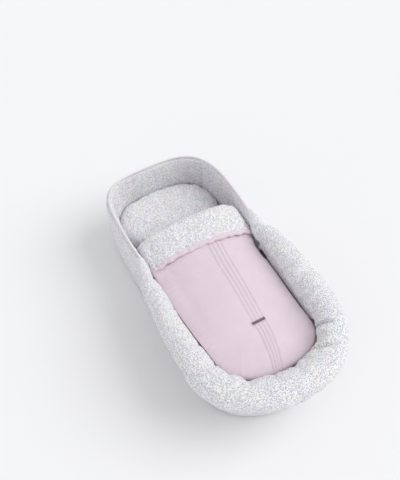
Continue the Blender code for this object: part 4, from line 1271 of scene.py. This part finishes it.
def build_gusset():
    """The strip between the cover's foot edge and the foot wall, drawn up a little."""
    def point(share, turn):
        x = COVER_HALF * math.cos(turn)
        inner = Vector((x * 1.003, cover_foot(x) - 0.0006, SEAM_Z))
        spot = Vector((RIM_HALF * math.cos(turn), FOOT_Y - FOOT_DEPTH * math.sin(turn), 0.0))
        normal = Vector((math.cos(turn) / RIM_HALF, -math.sin(turn) / FOOT_DEPTH, 0.0)).normalized()
        outer = spot - normal * (WALL_THICK + 0.0004)
        outer.z = SEAM_Z - 0.003
        spot = inner.lerp(outer, share)
        wrinkle = 0.0009 * math.sin(turn * 34 + 3 * lumps((turn, 0, 0), 0.5, 2.0))
        spot.z += math.sin(math.pi * share) * (wrinkle - GUSSET_SAG)
        return spot

    turns = spaced(GUSSET_TURN, math.pi - GUSSET_TURN, 110)
    bm = thickened(surface(spaced(0, 1, 7), turns, point, scale=(0.026, 0.15)), 0.0012)
    gusset = finished("foot_gusset_cloth", bm, [cloth("floral")], angle=60)
    dress(gusset, "liner", ("foot_gusset",))


# Pillow

PILLOW_HALF = (0.1560, 0.1000)
PILLOW_Y = 0.3205
PILLOW_LOW = 0.0285
PILLOW_SEAM = 0.0740
PILLOW_TOP = 0.1010
PILLOW_POWER = 3.6
PILLOW_GAP = 0.0035
PILLOW_TILT = 0.005


def pillow_place(u, v):
    """Place in plan, kept between the walls."""
    along = PILLOW_HALF[0] * (1 - v * v / 2) ** (1 / PILLOW_POWER)
    x = PILLOW_HALF[0] * u * (1 - v * v / 2) ** (1 / PILLOW_POWER)
    y = PILLOW_Y + PILLOW_HALF[1] * v * (1 - u * u / 2) ** (1 / PILLOW_POWER)
    headward = max(y - HEAD_Y, 0.0) / (HEAD_DEPTH - WALL_THICK)
    room = (RIM_HALF - WALL_THICK) * max(1 - headward ** HEAD_POWER, 0.0) ** (1 / HEAD_POWER) - PILLOW_GAP
    return x * min(1.0, room / along), y


def pillow_point(u, v, face):
    x, y = pillow_place(u, v)
    edge = 1 - max(abs(u), abs(v))
    seam = PILLOW_SEAM + 0.003 * v - PILLOW_TILT * u
    ruck = 0.0016 * math.sin(22 * math.atan2(v, u) + 3 * lumps((u, v, 0), 0.5, 2.0)) * bump(edge - 0.08, 0.14)
    if face < 0:
        return Vector((x, y, max(seam - (seam - PILLOW_LOW) * puffed(edge, 0.22) + ruck, PILLOW_LOW)))
    dome = puffed(edge, 0.34)
    fall = 0.006 * (1 - v) / 2 * eased(edge / 0.3)
    rise = (PILLOW_TOP - PILLOW_TILT * u - seam - fall) * dome
    return Vector((x, y, seam + rise + ruck + 0.002 * lumps((x, y, 0), 0.05, 5.0) * dome))


def pillow_print(co):
    """Lets the print run on down the pillow's sides."""
    spot = co - Vector((0, PILLOW_Y, 0))
    return PRINT_SCALE * (spot.xy + spot.xy.normalized() * (PILLOW_TOP - spot.z))


def build_pillow():
    spots = sine_spread(1.0, 50)
    over = surface(spots, spots, lambda u, v: pillow_point(u, v, 1))
    under = surface(spots, spots, lambda u, v: pillow_point(u, v, -1))
    map_cloth((over, under), pillow_print)
    pillow = finished("pillow", merged(over, under), [cloth("floral")], angle=75)
    plump(pillow, cap=0.003, pressure=3.0, pinned=lambda co: co[2] < PILLOW_LOW + 0.0012, shrink=-0.05)
    subdivide(pillow)
    dress(pillow, "pillow", ("pillow_case", "pillow_filling"))


# Stage

TARGET = Vector((0.0, 0.0215, 0.15))
AZIMUTH = math.radians(-29.03)
ELEVATION = math.radians(55.78)
DISTANCE = 2.137
LENS = 57.09
SENSOR = 36.0
# How far the photo's middle lies from the target, as a share of the frame's height
SHIFT = (-15.9 / 480, 31.4 / 480)
FLOOR_SIZE = 30.0
FLOOR_COLOUR = (0.893, 0.892, 0.893, 1.0)
SKY_COLOUR = (0.97, 0.98, 1.0, 1.0)
SKY_STRENGTH = 0.68
WHITE = (1.0, 1.0, 1.0, 1.0)


def add_camera():
    flat = math.cos(ELEVATION)
    back = Vector((math.sin(AZIMUTH) * flat, -math.cos(AZIMUTH) * flat, math.sin(ELEVATION)))
    data = bpy.data.cameras.new("camera")
    data.lens = LENS
    data.sensor_width = SENSOR
    data.shift_x, data.shift_y = SHIFT
    camera = bpy.data.objects.new("camera", data)
    camera.location = TARGET + back * DISTANCE
    camera.rotation_euler = (-back).to_track_quat("-Z", "Y").to_euler()
    bpy.context.scene.collection.objects.link(camera)
    bpy.context.scene.camera = camera


def add_floor():
    bm = bmesh.new()
    bmesh.ops.create_grid(bm, x_segments=1, y_segments=1, size=FLOOR_SIZE)
    m = Nodes("floor", 0.9)
    m.shader.inputs["Base Color"].default_value = FLOOR_COLOUR
    m.shader.inputs["Specular IOR Level"].default_value = 0.0
    finished("floor", bm, [m.material])


def add_sky():
    """A soft sky that lights the object and shows white behind it."""
    world = bpy.data.worlds.new("soft_sky")
    bpy.context.scene.world = world
    world.use_nodes = True
    tree = world.node_tree
    shade, clear = tree.nodes["Background"], tree.nodes.new("ShaderNodeBackground")
    for node, colour, strength in ((shade, SKY_COLOUR, SKY_STRENGTH), (clear, WHITE, 1.0)):
        node.inputs["Color"].default_value = colour
        node.inputs["Strength"].default_value = strength
    path = tree.nodes.new("ShaderNodeLightPath")
    mix = tree.nodes.new("ShaderNodeMixShader")
    seen = path.outputs["Is Camera Ray"]
    for ray in ("Is Glossy Ray", "Is Transmission Ray"):
        either = tree.nodes.new("ShaderNodeMath")
        either.operation = "MAXIMUM"
        tree.links.new(seen, either.inputs[0])
        tree.links.new(path.outputs[ray], either.inputs[1])
        seen = either.outputs[0]
    for output, socket in zip((seen, shade.outputs[0], clear.outputs[0]), mix.inputs):
        tree.links.new(output, socket)
    tree.links.new(mix.outputs[0], tree.nodes["World Output"].inputs["Surface"])


def add_sun(name, place, spread, strength):
    """Soft light from far away, which falls evenly on the floor."""
    data = bpy.data.lights.new(name, "SUN")
    data.angle = math.radians(spread)
    data.energy = strength
    lamp = bpy.data.objects.new(name, data)
    lamp.location = place
    lamp.rotation_euler = (-Vector(place)).to_track_quat("-Z", "Y").to_euler()
    bpy.context.scene.collection.objects.link(lamp)


def build_stage():
    add_camera()
    add_floor()
    add_sky()
    add_sun("key", (1.80, -0.75, 1.8), 50.0, 1.52)
    add_sun("fill", (-1.2, -0.5, 0.6), 80.0, 0.34)
    bpy.context.scene.view_settings.view_transform = "Standard"


# Operators

class OBJECT_OT_footmuff_liner(bpy.types.Operator):
    """Build the padded walls, the piping on their rim and the base mat"""
    bl_idname = "object.footmuff_liner"
    bl_label = "Liner"

    def execute(self, context):
        build_walls()
        build_piping()
        build_base()
        return {"FINISHED"}


class OBJECT_OT_footmuff_roll(bpy.types.Operator):
    """Build the stuffed roll round the foot half"""
    bl_idname = "object.footmuff_roll"
    bl_label = "Roll"

    def execute(self, context):
        build_roll()
        return {"FINISHED"}


class OBJECT_OT_footmuff_skirt(bpy.types.Operator):
    """Build the gathered skirt that goes over the carrycot's rim"""
    bl_idname = "object.footmuff_skirt"
    bl_label = "Skirt"

    def execute(self, context):
        build_skirt()
        return {"FINISHED"}


class OBJECT_OT_footmuff_cover(bpy.types.Operator):
    """Build the quilted cover with its pin tucks and its tag"""
    bl_idname = "object.footmuff_cover"
    bl_label = "Cover"

    def execute(self, context):
        build_cover()
        build_tag()
        return {"FINISHED"}


class OBJECT_OT_footmuff_cuff(bpy.types.Operator):
    """Build the cuff that is turned down over the cover's head edge"""
    bl_idname = "object.footmuff_cuff"
    bl_label = "Cuff"

    def execute(self, context):
        build_cuff()
        return {"FINISHED"}


class OBJECT_OT_footmuff_zips(bpy.types.Operator):
    """Build the zips' tapes, their strips and the gusset, and finish the zips' chains and sliders"""
    bl_idname = "object.footmuff_zips"
    bl_label = "Zips"

    def execute(self, context):
        build_zips()
        build_gusset()
        return {"FINISHED"}


class OBJECT_OT_footmuff_pillow(bpy.types.Operator):
    """Build the loose pillow"""
    bl_idname = "object.footmuff_pillow"
    bl_label = "Pillow"

    def execute(self, context):
        build_pillow()
        return {"FINISHED"}


class OBJECT_OT_footmuff_stage(bpy.types.Operator):
    """Set up the floor, the lamps and the camera"""
    bl_idname = "object.footmuff_stage"
    bl_label = "Stage"

    def execute(self, context):
        build_stage()
        return {"FINISHED"}


OPERATORS = (
    OBJECT_OT_footmuff_liner,
    OBJECT_OT_footmuff_roll,
    OBJECT_OT_footmuff_skirt,
    OBJECT_OT_footmuff_cover,
    OBJECT_OT_footmuff_cuff,
    OBJECT_OT_footmuff_zips,
    OBJECT_OT_footmuff_pillow,
    OBJECT_OT_footmuff_stage,
)


class VIEW3D_PT_footmuff(bpy.types.Panel):
    """Lists the footmuff's settings and pieces"""
    bl_label = "Footmuff"
    bl_space_type = "VIEW_3D"
    bl_region_type = "UI"
    bl_category = "Footmuff"

    def draw(self, context):
        for group in (context.scene.footmuff_look, context.scene.footmuff_forms):
            for key in group.bl_rna.properties.keys():
                if key not in ("rna_type", "name"):
                    self.layout.prop(group, key)
        for operator in OPERATORS:
            self.layout.operator(operator.bl_idname)


CLASSES = (FootmuffLook, FootmuffForms, *OPERATORS, VIEW3D_PT_footmuff)


def register():
    for part in CLASSES:
        bpy.utils.register_class(part)
    bpy.types.Scene.footmuff_look = bpy.props.PointerProperty(type=FootmuffLook)
    bpy.types.Scene.footmuff_forms = bpy.props.PointerProperty(type=FootmuffForms)


def unregister():
    del bpy.types.Scene.footmuff_forms
    del bpy.types.Scene.footmuff_look
    for part in reversed(CLASSES):
        bpy.utils.unregister_class(part)


def main():
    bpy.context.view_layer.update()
    register()
    for operator in OPERATORS:
        getattr(bpy.ops.object, operator.bl_idname.split(".")[1])()


if __name__ == "__main__":
    main()
